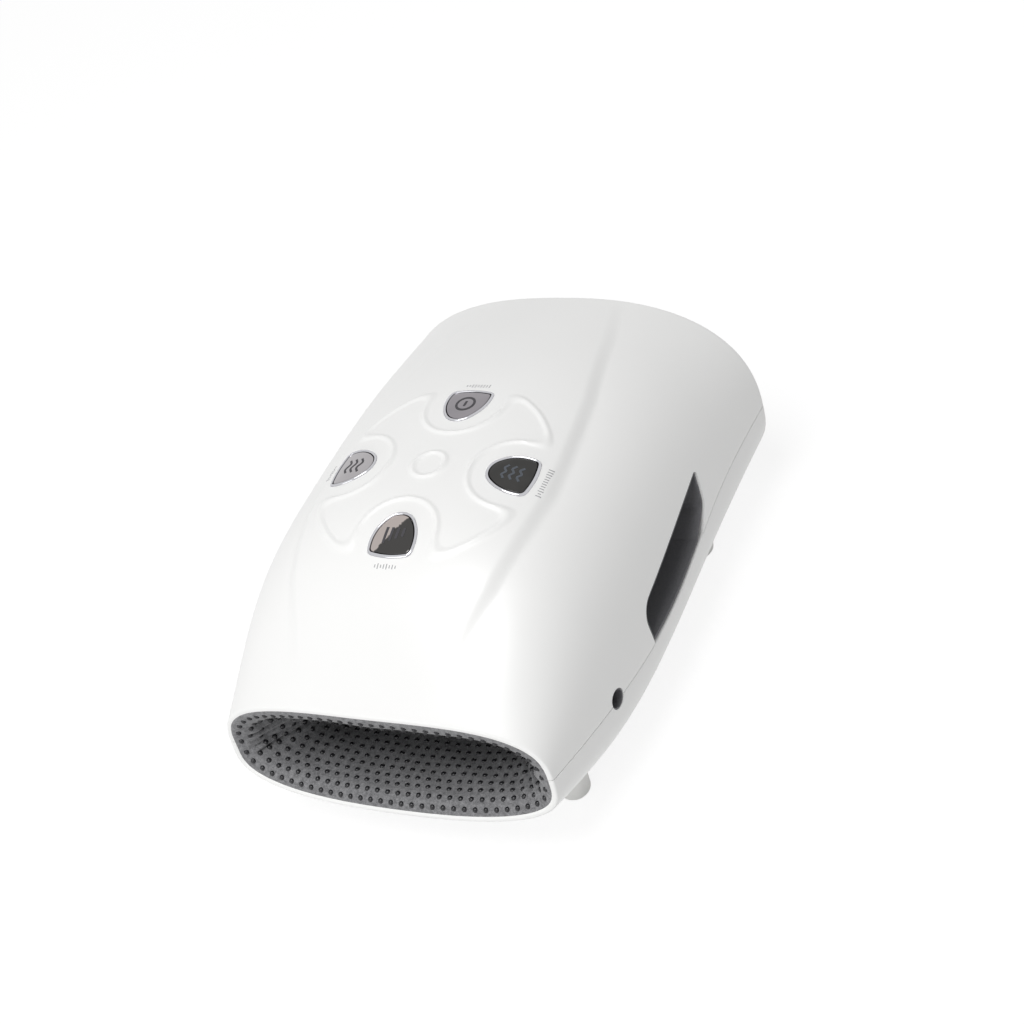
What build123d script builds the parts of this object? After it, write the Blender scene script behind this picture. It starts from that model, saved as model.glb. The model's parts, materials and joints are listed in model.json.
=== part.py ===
from build123d import *
import os
from math import acos, atan2, copysign, cos, pi, radians, sin, sqrt

# Cordless hand massager, resting on four feet, fingers towards -Y, wrist towards +Y, millimetres
# The body is a chain of five sections from the finger end to the wrist end
body_front = -107.6
body_back = 101.2
body_half_width = 79.0
body_top = 107.5
body_bottom = 8.4
station_shares = (0.0, 0.25, 0.5, 0.75, 1.0)
width_shares = (0.886, 0.968, 1.0, 1.006, 1.038)
level_shares = (0.393, 0.316, 0.298, 0.323, 0.359)
top_shares = (0.647, 0.941, 1.0, 0.963, 0.831)
bottom_shares = (2.667, 0.95, 1.0, 1.0, 1.0)
upper_power_shares = (2.9, 2.8, 2.7, 2.6, 2.45)
lower_power_shares = (3.1, 2.9, 2.8, 2.75, 2.75)
lean_shares = (0.16, 0.0, 0.0, 0.0, 0.19)
seam_shares = (0.42, 0.348, 0.3125, 0.3665, 0.375)
outline_steps = 24
seam_steps = 16

# Walls, clearances and one overrun for every cut
wall = 2.8
layer_gap = 0.3
overrun = 30.0

# Hand cavity and its cradle
cavity_half_width = 60.0
cavity_top = 57.0
cavity_bottom = 21.0
cavity_width_shares = (1.037, 1.0, 1.0, 1.03, 1.167)
cavity_top_shares = (1.091, 1.018, 1.0, 1.035, 1.298)
cavity_bottom_shares = (1.419, 1.048, 1.0, 1.0, 1.1)
cradle_half_width = 74.5
cradle_top = 65.5
cradle_bottom = 12.4
cradle_wall = 2.2
cradle_width_shares = (0.885, 0.973, 1.0, 1.0, 1.02)
cradle_top_shares = (1.012, 1.0, 1.0, 1.015, 1.192)
cradle_bottom_shares = (2.1, 1.016, 1.0, 1.0, 1.532)
cradle_power_shares = (2.9, 3.4, 3.6, 3.4, 2.6)
liner_thick = 1.6
heater_thick = 1.0
mouth_recess = 1.5
mouth_ring_length = 6.0

# Keys on a ring round the middle of the clover
clover_y = -10.5
ring_radius = 34.8
tip_reach = 10.2
base_reach = 8.4
key_half_width = 9.6
tip_round = 6.0
corner_round = 2.8
base_bulge = 0.8
bezel_width = 1.2
bezel_rise = 0.6
key_gap = 0.3
key_rise = 0.3
key_flange = 1.2
key_travel = 0.6
stem_radius = 1.5
stem_play = 0.3

# Control board, hung from the roof
board_depth = 16.0
board_size = 84.0
board_round = 6.0
board_thick = 1.6
board_hole_offset = 27.0
switch_size = 6.0
switch_height = 3.6
switch_entry = 0.6
boss_radius = 3.0


def middle(table, share):
    """Value of a five-station table at a share of the body's length."""
    total = 0
    for k, own in enumerate(station_shares):
        weight = 1
        for other in station_shares:
            if other != own:
                weight = weight * (share - other) / (own - other)
        total = total + table[k] * weight
    return total


def place(share):
    """Y of a section at a share of the body's length."""
    return body_front + (body_back - body_front) * share


def share_at(y):
    return (y - body_front) / (body_back - body_front)


def seam_height(y):
    return body_top * middle(seam_shares, share_at(y))


def oval(half_width, rise, drop, upper_power, lower_power):
    """Points round a squarish oval, rise above and drop below its widest level."""
    points = []
    for step in range(outline_steps):
        angle = 2 * pi * step / outline_steps - pi / 2
        height, power = (rise, upper_power) if sin(angle) > 0 else (-drop, lower_power)
        across = half_width * copysign(abs(cos(angle)) ** (2 / power), cos(angle))
        points.append((across, height * abs(sin(angle)) ** (2 / power)))
    return points


def section(k, half_width, top, bottom, upper_power, lower_power):
    """One closed section of the body, in the plane of station k."""
    level = body_top * level_shares[k]
    lean = lean_shares[k]
    stretch = sqrt(1 + lean * lean)
    plane = Plane(origin=(0, place(station_shares[k]), level), x_dir=(1, 0, 0), z_dir=(0, -1, lean))
    rise = (top - level) * stretch
    drop = (level - bottom) * stretch
    with BuildSketch(plane) as outline:
        with BuildLine():
            Spline(*oval(half_width, rise, drop, upper_power, lower_power), periodic=True)
        make_face()
    return outline.sketch


def body_form(inset, mode=Mode.ADD):
    """The body's outer form, moved inwards by inset."""
    outlines = []
    for k in range(len(station_shares)):
        half_width = body_half_width * width_shares[k] - inset
        top = body_top * top_shares[k] - inset
        bottom = body_bottom * bottom_shares[k] + inset
        outlines.append(section(k, half_width, top, bottom, upper_power_shares[k], lower_power_shares[k]))
    loft(outlines, mode=mode)


def cradle_form(inset, mode=Mode.ADD):
    """The rigid frame round the hand, moved inwards by inset."""
    outlines = []
    for k in range(len(station_shares)):
        half_width = cradle_half_width * cradle_width_shares[k] - inset
        top = cradle_top * cradle_top_shares[k] - inset
        bottom = cradle_bottom * cradle_bottom_shares[k] + inset
        outlines.append(section(k, half_width, top, bottom, cradle_power_shares[k], lower_power_shares[k]))
    loft(outlines, mode=mode)


def cavity_form(outset, mode=Mode.ADD):
    """The space for the hand, moved outwards by outset."""
    outlines = []
    for k in range(len(station_shares)):
        half_width = cavity_half_width * cavity_width_shares[k] + outset
        top = cavity_top * cavity_top_shares[k] + outset
        bottom = cavity_bottom * cavity_bottom_shares[k] - outset
        outlines.append(section(k, half_width, top, bottom, upper_power_shares[k], lower_power_shares[k]))
    loft(outlines, mode=mode)


def side_of_seam(side, gap=0.0):
    """Cuts away what lies on the other side of the parting surface."""
    shelf = body_top / 2 + side * -(body_top / 2 + overrun)
    points = []
    for step in range(seam_steps + 1):
        y = place(step / seam_steps)
        points.append((y, seam_height(y) + side * gap))
    front = (body_front - overrun, points[0][1])
    back = (body_back + overrun, points[-1][1])
    with BuildSketch(Plane.YZ) as profile:
        with BuildLine():
            Spline(*points)
            Polyline(points[-1], back, (back[0], shelf), (front[0], shelf), front, points[0])
        make_face()
    extrude(profile.sketch, amount=body_half_width + overrun, both=True, mode=Mode.SUBTRACT)


def leaning_y(end, shift, z):
    """Y of the plane that lies shift from one end of the body, at height z."""
    return place(station_shares[end]) + shift + lean_shares[end] * (z - body_top * level_shares[end])


def keep_between(first_end, first_shift, last_end, last_shift):
    """Keeps what lies between two planes, each parallel to one end of the body."""
    low = -overrun
    high = body_top + overrun
    first = [(leaning_y(first_end, first_shift, z), z) for z in (low, high)]
    last = [(leaning_y(last_end, last_shift, z), z) for z in (high, low)]
    with BuildSketch(Plane.YZ) as profile:
        with BuildLine():
            Polyline(*first, *last, close=True)
        make_face()
    extrude(profile.sketch, amount=body_half_width + overrun, both=True, mode=Mode.INTERSECT)


# Thumb slot, a leaf-shaped hole above the parting line in each side
slot_front = -26.5
slot_shoulder_height = 51.0
slot_tip_y = 42.6
slot_tip_height = 59.6
slot_heel_y = 38.0
slot_heel_height = 45.0
slot_tail_y = 25.0
slot_front_round = 9.0
slot_tip_round = 1.6
slot_heel_round = 8.0
slot_lip = 0.8
slot_inner_x = 46.0
sleeve_thick = 1.2

# Charging port on the parting line of the right side
port_y = -58.3
port_height = 38.6
port_radius = 4.1
jack_depth = 9.6
jack_width = 9.0
jack_bore = 2.9
jack_bore_depth = 8.0
jack_pin_radius = 1.0
jack_recess = 1.2

# Feet
foot_front = (52.6, -73.0)
foot_rear = (58.8, 55.1)
foot_radius = 6.2
foot_top_radius = 7.6
foot_height = 22.0
foot_round = 2.4
stud_radius = 2.9
stud_clearance = 0.08
stud_reach = 0.6

# Roof posts that carry the cradle, and the bosses of the wrist mouth ring
post_x = 52.0
post_front_y = -45.0
post_rear_y = 52.0
post_radius = 3.6
ring_boss_x = 34.0
ring_boss_top = 80.0
ring_boss_low = 15.8
ring_boss_radius = 2.7
ring_boss_reach = 3.6
ring_boss_length = 12.0
screw_radius = 1.3
head_radius = 2.4
head_height = 1.8
screw_bite = 7.0
screw_squeeze = 0.08

ring_y_front = mouth_recess + mouth_ring_length
switch_places = []
for turn in (90, 180, 270, 0):
    switch_places.append((ring_radius * cos(radians(turn)), clover_y + ring_radius * sin(radians(turn))))
board_top = body_top - board_depth
board_low = board_top - board_thick
switch_top = board_top + switch_height
flange_floor = switch_top + key_travel + layer_gap
board_holes = [
    (x * board_hole_offset, clover_y + y * board_hole_offset) for x in (-1, 1) for y in (-1, 1)
]
post_places = [(x * post_x, y) for x in (-1, 1) for y in (post_front_y, post_rear_y)]
feet = {
    "front_right_foot": foot_front,
    "front_left_foot": (-foot_front[0], foot_front[1]),
    "rear_right_foot": foot_rear,
    "rear_left_foot": (-foot_rear[0], foot_rear[1]),
}
key_turns = {"power": 90, "heat": 180, "level": 270, "vibration": 0}


def pick_shape(grow):
    """Outline of a key, tip towards the clover's middle, grown outwards by grow."""
    side = key_half_width - corner_round
    tip = Vector(tip_round - tip_reach, 0)
    corner = Vector(base_reach - corner_round, side)
    lean = atan2(side, corner.X - tip.X) + acos((tip_round - corner_round) / (corner - tip).length)
    outward = Vector(cos(lean), sin(lean))
    between = Vector(cos(lean / 2), sin(lean / 2))
    tip_end = tip + outward * (tip_round + grow)
    corner_start = corner + outward * (corner_round + grow)
    corner_middle = corner + between * (corner_round + grow)
    corner_end = corner + Vector(corner_round + grow, 0)
    low = [Vector(v.X, -v.Y) for v in (tip_end, corner_start, corner_middle, corner_end)]
    with BuildLine() as outline:
        Line(tip_end, corner_start)
        ThreePointArc(corner_start, corner_middle, corner_end)
        ThreePointArc(corner_end, (base_reach + grow + base_bulge, 0), low[3])
        ThreePointArc(low[3], low[2], low[1])
        Line(low[1], low[0])
        ThreePointArc(low[0], (-tip_reach - grow, 0), tip_end)
    make_face(outline.edges())


def key_plane(turn, height):
    outward = (cos(radians(turn)), sin(radians(turn)), 0)
    origin = (ring_radius * outward[0], clover_y + ring_radius * outward[1], height)
    return Plane(origin=origin, x_dir=outward, z_dir=(0, 0, 1))


def slot_shape(lift, inset):
    """Leaf outline of the thumb slot on the YZ plane, its lower edge lift above the seam."""
    middle_y = (slot_tail_y + slot_front) / 2
    tail = (slot_tail_y, seam_height(slot_tail_y) + lift)
    belly = (middle_y, seam_height(middle_y) + lift)
    nose = (slot_front, seam_height(slot_front) + lift)
    with BuildLine() as outline:
        FilletPolyline(
            nose,
            (slot_front, slot_shoulder_height),
            (slot_tip_y, slot_tip_height),
            (slot_heel_y, slot_heel_height),
            tail,
            radius=[slot_front_round, slot_tip_round, slot_heel_round],
        )
        ThreePointArc(tail, belly, nose)
    make_face(outline.edges())
    if inset:
        offset(amount=-inset, mode=Mode.REPLACE)


def cut_slots(lift, start):
    """Cuts both thumb slots, from start outwards."""
    for plane in (Plane.YZ.offset(start), Plane.YZ.offset(-start - body_half_width - overrun)):
        with BuildSketch(plane) as profile:
            slot_shape(lift, 0)
        extrude(profile.sketch, amount=body_half_width + overrun, mode=Mode.SUBTRACT)


def cut_port(radius, start):
    with BuildSketch(Plane.YZ.offset(start)) as profile:
        with Locations((port_y, port_height)):
            Circle(radius)
    extrude(profile.sketch, amount=body_half_width, mode=Mode.SUBTRACT)


def cut_jack_room():
    """Room for the charging jack and its clearance."""
    with BuildSketch(Plane.YZ.offset(jack_back - layer_gap)) as profile:
        with Locations((port_y, port_height)):
            Rectangle(jack_width + 2 * layer_gap, jack_width + 2 * layer_gap)
    extrude(profile.sketch, amount=body_half_width, mode=Mode.SUBTRACT)


def write(piece, name):
    piece.part.label = name
    export_step(piece.part, "parts/" + name + ".step")
    print(name, round(piece.part.volume), len(piece.part.solids()), piece.part.is_valid)


os.makedirs("parts", exist_ok=True)
port_share = share_at(port_y)
jack_face = body_half_width * middle(width_shares, port_share) - wall - jack_recess
jack_back = jack_face - jack_depth


def ring_bosses(height, side, grow=0.0, mode=Mode.ADD):
    """Two bosses along Y behind the wrist ring, joined to the shell on one side, or room for them."""
    start = leaning_y(-1, -ring_y_front - ring_boss_length - grow, height)
    with BuildSketch(Plane.XZ.offset(-start)) as profile:
        with Locations((ring_boss_x, height), (-ring_boss_x, height)):
            Circle(ring_boss_radius + grow)
        pad = height + side * ring_boss_reach
        with Locations((ring_boss_x, pad), (-ring_boss_x, pad)):
            Rectangle(2 * (ring_boss_radius + grow), 2 * ring_boss_reach)
    extrude(profile.sketch, amount=-ring_boss_length - overrun, mode=mode)


def ring_pilots(height, radius, bite):
    """Two holes along Y for the wrist ring's screws."""
    start = leaning_y(-1, -ring_y_front - bite, height)
    with BuildSketch(Plane.XZ.offset(-start)) as profile:
        with Locations((ring_boss_x, height), (-ring_boss_x, height)):
            Circle(radius)
    extrude(profile.sketch, amount=-bite - overrun, mode=Mode.SUBTRACT)


def cut_holes(places, radius, low, high):
    """Round holes along Z between two heights."""
    with BuildSketch(Plane.XY.offset(low)) as profile:
        with Locations(*places):
            Circle(radius)
    extrude(profile.sketch, amount=high - low, mode=Mode.SUBTRACT)


# Bosses and posts inside the top shell, cut to the shell's form and the cradle's
with BuildPart() as roof_bosses:
    with BuildSketch(Plane.XY.offset(board_top)):
        with Locations(*board_holes):
            Circle(boss_radius)
    extrude(amount=board_depth)
    with BuildSketch(Plane.XY.offset(cavity_top)):
        with Locations(*post_places):
            Circle(post_radius)
    extrude(amount=body_top - cavity_top)
    ring_bosses(ring_boss_top, 1)
    body_form(wall / 2, mode=Mode.INTERSECT)
    keep_between(0, 0, -1, -ring_y_front)
    cradle_form(0, mode=Mode.SUBTRACT)

# Bosses inside the bottom shell
with BuildPart() as floor_bosses:
    ring_bosses(ring_boss_low, -1)
    body_form(wall / 2, mode=Mode.INTERSECT)
    keep_between(0, 0, -1, -ring_y_front)

# Top shell
with BuildPart() as top_shell:
    body_form(0)
    body_form(wall, mode=Mode.SUBTRACT)
    side_of_seam(1)
    add(roof_bosses.part)
    for turn in key_turns.values():
        with BuildSketch(key_plane(turn, board_top)):
            pick_shape(0)
        extrude(amount=board_depth + overrun, mode=Mode.SUBTRACT)
    cut_slots(-slot_lip, cradle_half_width - cradle_wall)
    cut_port(port_radius, jack_face)
    cut_holes(board_holes, screw_radius, board_top, board_top + screw_bite)
    cut_holes(post_places, screw_radius, cavity_top, cradle_top + screw_bite)
    ring_pilots(ring_boss_top, screw_radius, screw_bite)
write(top_shell, "top_shell")

# Bottom shell
with BuildPart() as bottom_shell:
    body_form(0)
    body_form(wall, mode=Mode.SUBTRACT)
    side_of_seam(-1)
    add(floor_bosses.part)
    cut_port(port_radius, jack_face)
    cut_holes(feet.values(), stud_radius + stud_clearance, 0, foot_height)
    ring_pilots(ring_boss_low, screw_radius, screw_bite)
write(bottom_shell, "bottom_shell")

# Keys and their bezels
for name, turn in key_turns.items():
    with BuildPart() as bezel:
        with BuildSketch(key_plane(turn, board_top)):
            pick_shape(-stud_clearance)
        extrude(amount=board_depth + overrun)
        with BuildSketch(key_plane(turn, board_top)):
            pick_shape(-bezel_width)
        extrude(amount=board_depth + overrun, mode=Mode.SUBTRACT)
        body_form(-bezel_rise, mode=Mode.INTERSECT)
        body_form(wall, mode=Mode.SUBTRACT)
    write(bezel, name + "_bezel")
    with BuildPart() as flange:
        with BuildSketch(key_plane(turn, flange_floor)):
            pick_shape(key_flange)
        extrude(amount=board_depth + overrun)
        body_form(wall + layer_gap, mode=Mode.INTERSECT)
    with BuildPart() as key:
        with BuildSketch(key_plane(turn, flange_floor)):
            pick_shape(-bezel_width - key_gap)
        extrude(amount=board_depth + overrun)
        body_form(-key_rise, mode=Mode.INTERSECT)
        add(flange.part)
        with BuildSketch(key_plane(turn, switch_top - switch_entry)):
            Circle(stem_radius)
        extrude(amount=flange_floor - switch_top + switch_entry + layer_gap)
    write(key, name + "_key")

# Control board with its switches, chips and screws
well_depth = switch_entry + key_travel + layer_gap
with BuildPart() as control_board:
    with BuildSketch(Plane.XY.offset(board_low)):
        with Locations((0, clover_y)):
            RectangleRounded(board_size, board_size, board_round)
    extrude(amount=board_thick)
    cut_holes(board_holes, screw_radius + stud_clearance, board_low - overrun, board_top + overrun)
write(control_board, "control_board")

with BuildPart() as tact_switches:
    with BuildSketch(Plane.XY.offset(board_top)):
        with Locations(*switch_places):
            Rectangle(switch_size, switch_size)
    extrude(amount=switch_height)
    cut_holes(switch_places, stem_radius + stem_play, switch_top - well_depth, switch_top + overrun)
write(tact_switches, "tact_switches")

chip_size = 10.0
chip_height = 1.6
socket_size = (9.0, 5.0)
socket_height = 5.0
socket_shift = 13.5
with BuildPart() as board_chips:
    with BuildSketch(Plane.XY.offset(board_top)):
        with Locations((0, clover_y)):
            Rectangle(chip_size, chip_size)
    extrude(amount=chip_height)
    with BuildSketch(Plane.XY.offset(board_top)):
        socket_y = clover_y - socket_shift
        with Locations((-board_hole_offset, socket_y), (board_hole_offset, socket_y)):
            Rectangle(*socket_size)
    extrude(amount=socket_height)
write(board_chips, "board_chips")

with BuildPart() as board_screws:
    with BuildSketch(Plane.XY.offset(board_low - head_height)):
        with Locations(*board_holes):
            Circle(head_radius)
    extrude(amount=head_height)
    with BuildSketch(Plane.XY.offset(board_low)):
        with Locations(*board_holes):
            Circle(screw_radius - screw_squeeze)
    extrude(amount=board_thick + screw_bite - layer_gap)
write(board_screws, "board_screws")

# Frame round the hand: two cradles, the liner halves, the airbag, the foam and the heater
inner_gap = ring_y_front + layer_gap
pump_x = -24.0
pump_height = 78.0
pump_head_size = 21.0
pump_head_front = -32.0
pump_head_length = 22.0
pump_motor_radius = 10.0
pump_motor_length = 26.0
hose_bore = 1.5
hose_radius = 2.5
hose_gap = 0.3
nipple_radius = 1.45
nipple_length = 3.4
tee_y = -46.0
tee_size = 8.0
hose_hole_radius = 3.0
bag_nipple_top = 69.5
bag_front = 24.0
bag_rear = 16.0
foam_front = 20.0
foam_rear = 42.0
heater_front = 40.0
heater_rear = 50.0
heater_half_width = 42.0
head_pocket_radius = 4.5


def cradle_surface(x, y, inset):
    """Height of the cradle's top surface, moved inwards by inset."""
    share = share_at(y)
    level = body_top * middle(level_shares, share)
    rise = cradle_top * middle(cradle_top_shares, share) - inset - level
    half_width = cradle_half_width * middle(cradle_width_shares, share) - inset
    power = middle(cradle_power_shares, share)
    return level + rise * (1 - abs(x / half_width) ** power) ** (1 / power)


with BuildPart() as upper_cradle:
    cradle_form(0)
    cradle_form(cradle_wall, mode=Mode.SUBTRACT)
    side_of_seam(1)
    keep_between(0, inner_gap, -1, -inner_gap)
    cut_slots(-slot_lip, slot_inner_x)
    cut_jack_room()
    cut_holes([(pump_x, tee_y)], hose_hole_radius, cavity_top, body_top)
    cut_holes(post_places, screw_radius + stud_clearance, cavity_top, body_top)
write(upper_cradle, "upper_cradle")

with BuildPart() as lower_cradle:
    cradle_form(0)
    cradle_form(cradle_wall, mode=Mode.SUBTRACT)
    side_of_seam(-1)
    keep_between(0, inner_gap, -1, -inner_gap)
    cut_jack_room()
    ring_bosses(ring_boss_low, -1, layer_gap, Mode.SUBTRACT)
write(lower_cradle, "lower_cradle")

with BuildPart() as upper_liner:
    cavity_form(liner_thick)
    cavity_form(0, mode=Mode.SUBTRACT)
    side_of_seam(1)
    keep_between(0, inner_gap, -1, -inner_gap)
    cut_slots(-slot_lip, slot_inner_x)
write(upper_liner, "upper_liner")

with BuildPart() as lower_liner:
    cavity_form(liner_thick)
    cavity_form(0, mode=Mode.SUBTRACT)
    side_of_seam(-1)
    keep_between(0, inner_gap, -1, -inner_gap)
write(lower_liner, "lower_liner")

with BuildPart() as upper_airbag:
    cradle_form(cradle_wall + layer_gap)
    cavity_form(liner_thick + layer_gap, mode=Mode.SUBTRACT)
    side_of_seam(1, layer_gap)
    keep_between(0, bag_front, -1, -bag_rear)
    cut_slots(-slot_lip, slot_inner_x)
    cut_jack_room()
    cut_holes(post_places, head_pocket_radius, cavity_top, body_top)
    with BuildSketch(Plane.XY.offset(cavity_top + liner_thick + 2 * layer_gap)):
        with Locations((pump_x, tee_y)):
            Circle(nipple_radius)
    extrude(amount=bag_nipple_top - cavity_top - liner_thick - 2 * layer_gap)
write(upper_airbag, "upper_airbag")

with BuildPart() as foam_pad:
    cradle_form(cradle_wall + layer_gap)
    cavity_form(liner_thick + heater_thick + 2 * layer_gap, mode=Mode.SUBTRACT)
    side_of_seam(-1, layer_gap)
    keep_between(0, foam_front, -1, -foam_rear)
    cut_jack_room()
write(foam_pad, "foam_pad")

with BuildPart() as heating_pad:
    cavity_form(liner_thick + layer_gap + heater_thick)
    cavity_form(liner_thick + layer_gap, mode=Mode.SUBTRACT)
    side_of_seam(-1)
    keep_between(0, heater_front, -1, -heater_rear)
    with BuildSketch(Plane.XY):
        Rectangle(2 * heater_half_width, 2 * (body_back - body_front))
    extrude(amount=body_top / 2, mode=Mode.INTERSECT)
write(heating_pad, "heating_pad")

# Mouth rings that hold the liner's edges
with BuildPart() as finger_mouth_ring:
    body_form(wall + layer_gap)
    cavity_form(0, mode=Mode.SUBTRACT)
    keep_between(0, mouth_recess, 0, ring_y_front)
write(finger_mouth_ring, "finger_mouth_ring")

ring_seat = 3.0
with BuildPart() as wrist_mouth_ring:
    body_form(wall + layer_gap)
    cavity_form(0, mode=Mode.SUBTRACT)
    keep_between(-1, -ring_y_front, -1, -mouth_recess)
    for height in (ring_boss_top, ring_boss_low):
        ring_pilots(height, screw_radius + stud_clearance, screw_bite)
        ring_pilots(height, head_radius + layer_gap, -mouth_ring_length + ring_seat)
write(wrist_mouth_ring, "wrist_mouth_ring")

with BuildPart() as wrist_ring_screws:
    for height in (ring_boss_top, ring_boss_low):
        seat = leaning_y(-1, -ring_y_front + mouth_ring_length - ring_seat, height)
        with BuildSketch(Plane.XZ.offset(-seat)):
            with Locations((ring_boss_x, height), (-ring_boss_x, height)):
                Circle(head_radius)
        extrude(amount=-head_height)
        with BuildSketch(Plane.XZ.offset(-seat)):
            with Locations((ring_boss_x, height), (-ring_boss_x, height)):
                Circle(screw_radius - screw_squeeze)
        extrude(amount=mouth_ring_length - ring_seat + screw_bite - layer_gap)
write(wrist_ring_screws, "wrist_ring_screws")

with BuildPart() as cradle_screws:
    for x, y in post_places:
        reach = abs(x) + head_radius
        seat = cradle_surface(reach, y, cradle_wall)
        with BuildSketch(Plane.XY.offset(seat - head_height)):
            with Locations((x, y)):
                Circle(head_radius)
        extrude(amount=head_height)
        with BuildSketch(Plane.XY.offset(seat)):
            with Locations((x, y)):
                Circle(screw_radius - screw_squeeze)
        extrude(amount=cradle_top + screw_bite - layer_gap - seat)
write(cradle_screws, "cradle_screws")

# Thumb sleeves
for name, side in (("right_thumb_sleeve", 1), ("left_thumb_sleeve", -1)):
    with BuildPart() as sleeve:
        near = slot_inner_x + layer_gap
        start = near if side > 0 else -near - body_half_width
        with BuildSketch(Plane.YZ.offset(start)):
            slot_shape(layer_gap, layer_gap)
        extrude(amount=body_half_width)
        with BuildSketch(Plane.YZ.offset(start)):
            slot_shape(layer_gap, layer_gap + sleeve_thick)
        extrude(amount=body_half_width, mode=Mode.SUBTRACT)
        body_form(slot_lip, mode=Mode.INTERSECT)
        cavity_form(0, mode=Mode.SUBTRACT)
    write(sleeve, name)

# Feet, each with a stud in the bottom shell
for name, spot in feet.items():
    with BuildPart() as stud:
        with BuildSketch(Plane.XY.offset(foot_round)):
            with Locations(spot):
                Circle(stud_radius)
        extrude(amount=body_top / 2)
        body_form(wall + stud_reach, mode=Mode.SUBTRACT)
    with BuildPart() as foot:
        outline = [
            (0, 0),
            (foot_radius - foot_round, 0),
            (foot_radius, foot_round),
            (foot_top_radius, foot_height),
            (0, foot_height),
        ]
        with BuildSketch(Plane(origin=(spot[0], spot[1], 0), x_dir=(1, 0, 0), z_dir=(0, -1, 0))):
            with BuildLine():
                Line(outline[0], outline[1])
                RadiusArc(outline[1], outline[2], -foot_round)
                Polyline(outline[2], outline[3], outline[4], outline[0])
            make_face()
        revolve(axis=Axis((spot[0], spot[1], 0), (0, 0, 1)))
        body_form(0, mode=Mode.SUBTRACT)
        add(stud.part)
    write(foot, name)

# Charging jack
with BuildPart() as charging_jack:
    with BuildSketch(Plane.YZ.offset(jack_back)):
        with Locations((port_y, port_height)):
            Rectangle(jack_width, jack_width)
    extrude(amount=jack_depth)
    with BuildSketch(Plane.YZ.offset(jack_face - jack_bore_depth)):
        with Locations((port_y, port_height)):
            Circle(jack_bore)
    extrude(amount=jack_bore_depth, mode=Mode.SUBTRACT)
    with BuildSketch(Plane.YZ.offset(jack_back)):
        with Locations((port_y, port_height)):
            Circle(jack_pin_radius)
    extrude(amount=jack_depth - jack_recess)
write(charging_jack, "charging_jack")

# Air pump: head, motor, crank and its saddle
running_gap = 0.05
shaft_radius = 1.0
shaft_depth = 5.0
chamber_radius = 8.0
chamber_depth = 10.0
crank_radius = 4.5
crank_thick = 4.0
crank_gap = 2.0
crank_pin_offset = 2.5
crank_pin_length = 3.0
pump_head_back = pump_head_front + pump_head_length
pump_low = pump_height - pump_head_size / 2


def round_along_y(x, z, radius, start, length, mode=Mode.ADD):
    """A cylinder along Y from start."""
    with BuildSketch(Plane.XZ.offset(-start)) as profile:
        with Locations((x, z)):
            Circle(radius)
    extrude(profile.sketch, amount=-length, mode=mode)


def round_along_x(y, z, radius, start, length, mode=Mode.ADD):
    """A cylinder along X from start."""
    with BuildSketch(Plane.YZ.offset(start)) as profile:
        with Locations((y, z)):
            Circle(radius)
    extrude(profile.sketch, amount=length, mode=mode)


def saddle(centre, width, length, top):
    """A block that stands on the cradle, its foot cut to the cradle's form."""
    with BuildSketch(Plane.XY.offset(cavity_top)) as profile:
        with Locations(centre):
            Rectangle(width, length)
    extrude(profile.sketch, amount=top - cavity_top)
    cradle_form(0, mode=Mode.SUBTRACT)


with BuildPart() as pump_head:
    with BuildSketch(Plane.XZ.offset(-pump_head_front)):
        with Locations((pump_x, pump_height)):
            Rectangle(pump_head_size, pump_head_size)
    extrude(amount=-pump_head_length)
    round_along_y(
        pump_x, pump_height, chamber_radius, pump_head_back - chamber_depth, chamber_depth, Mode.SUBTRACT
    )
    round_along_y(pump_x, pump_height, nipple_radius, pump_head_front - nipple_length, nipple_length)
write(pump_head, "pump_head")

with BuildPart() as pump_motor:
    round_along_y(pump_x, pump_height, pump_motor_radius, pump_head_back, pump_motor_length)
    bore_depth = shaft_depth + running_gap
    round_along_y(
        pump_x, pump_height, shaft_radius + running_gap, pump_head_back, bore_depth, Mode.SUBTRACT
    )
write(pump_motor, "pump_motor")

crank_back = pump_head_back - crank_gap
with BuildPart() as pump_crank:
    round_along_y(pump_x, pump_height, crank_radius, crank_back - crank_thick, crank_thick)
    round_along_y(pump_x, pump_height, shaft_radius, crank_back, crank_gap + shaft_depth - layer_gap)
    round_along_y(
        pump_x + crank_pin_offset,
        pump_height,
        shaft_radius,
        crank_back - crank_thick - crank_pin_length,
        crank_pin_length,
    )
write(pump_crank, "pump_crank")

with BuildPart() as pump_saddle:
    saddle_length = pump_head_length + pump_motor_length
    saddle((pump_x, pump_head_front + saddle_length / 2), pump_head_size, saddle_length, pump_low)
write(pump_saddle, "pump_saddle")

# Battery pack of two cells in one sleeve, on its tray
cell_radius = 9.3
cell_length = 65.0
battery_x = 21.0
battery_front = -38.0
battery_low = 68.2
tray_margin = 0.5
battery_middle = battery_front + cell_length / 2
with BuildPart() as battery_pack:
    with BuildSketch(Plane.XZ.offset(-battery_front)):
        with Locations((battery_x, battery_low + cell_radius)):
            SlotCenterToCenter(2 * cell_radius, 2 * cell_radius)
    extrude(amount=-cell_length)
write(battery_pack, "battery_pack")

with BuildPart() as battery_tray:
    tray_width = 4 * cell_radius + 2 * tray_margin
    saddle((battery_x, battery_middle), tray_width, cell_length + 2 * tray_margin, battery_low)
write(battery_tray, "battery_tray")

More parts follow.
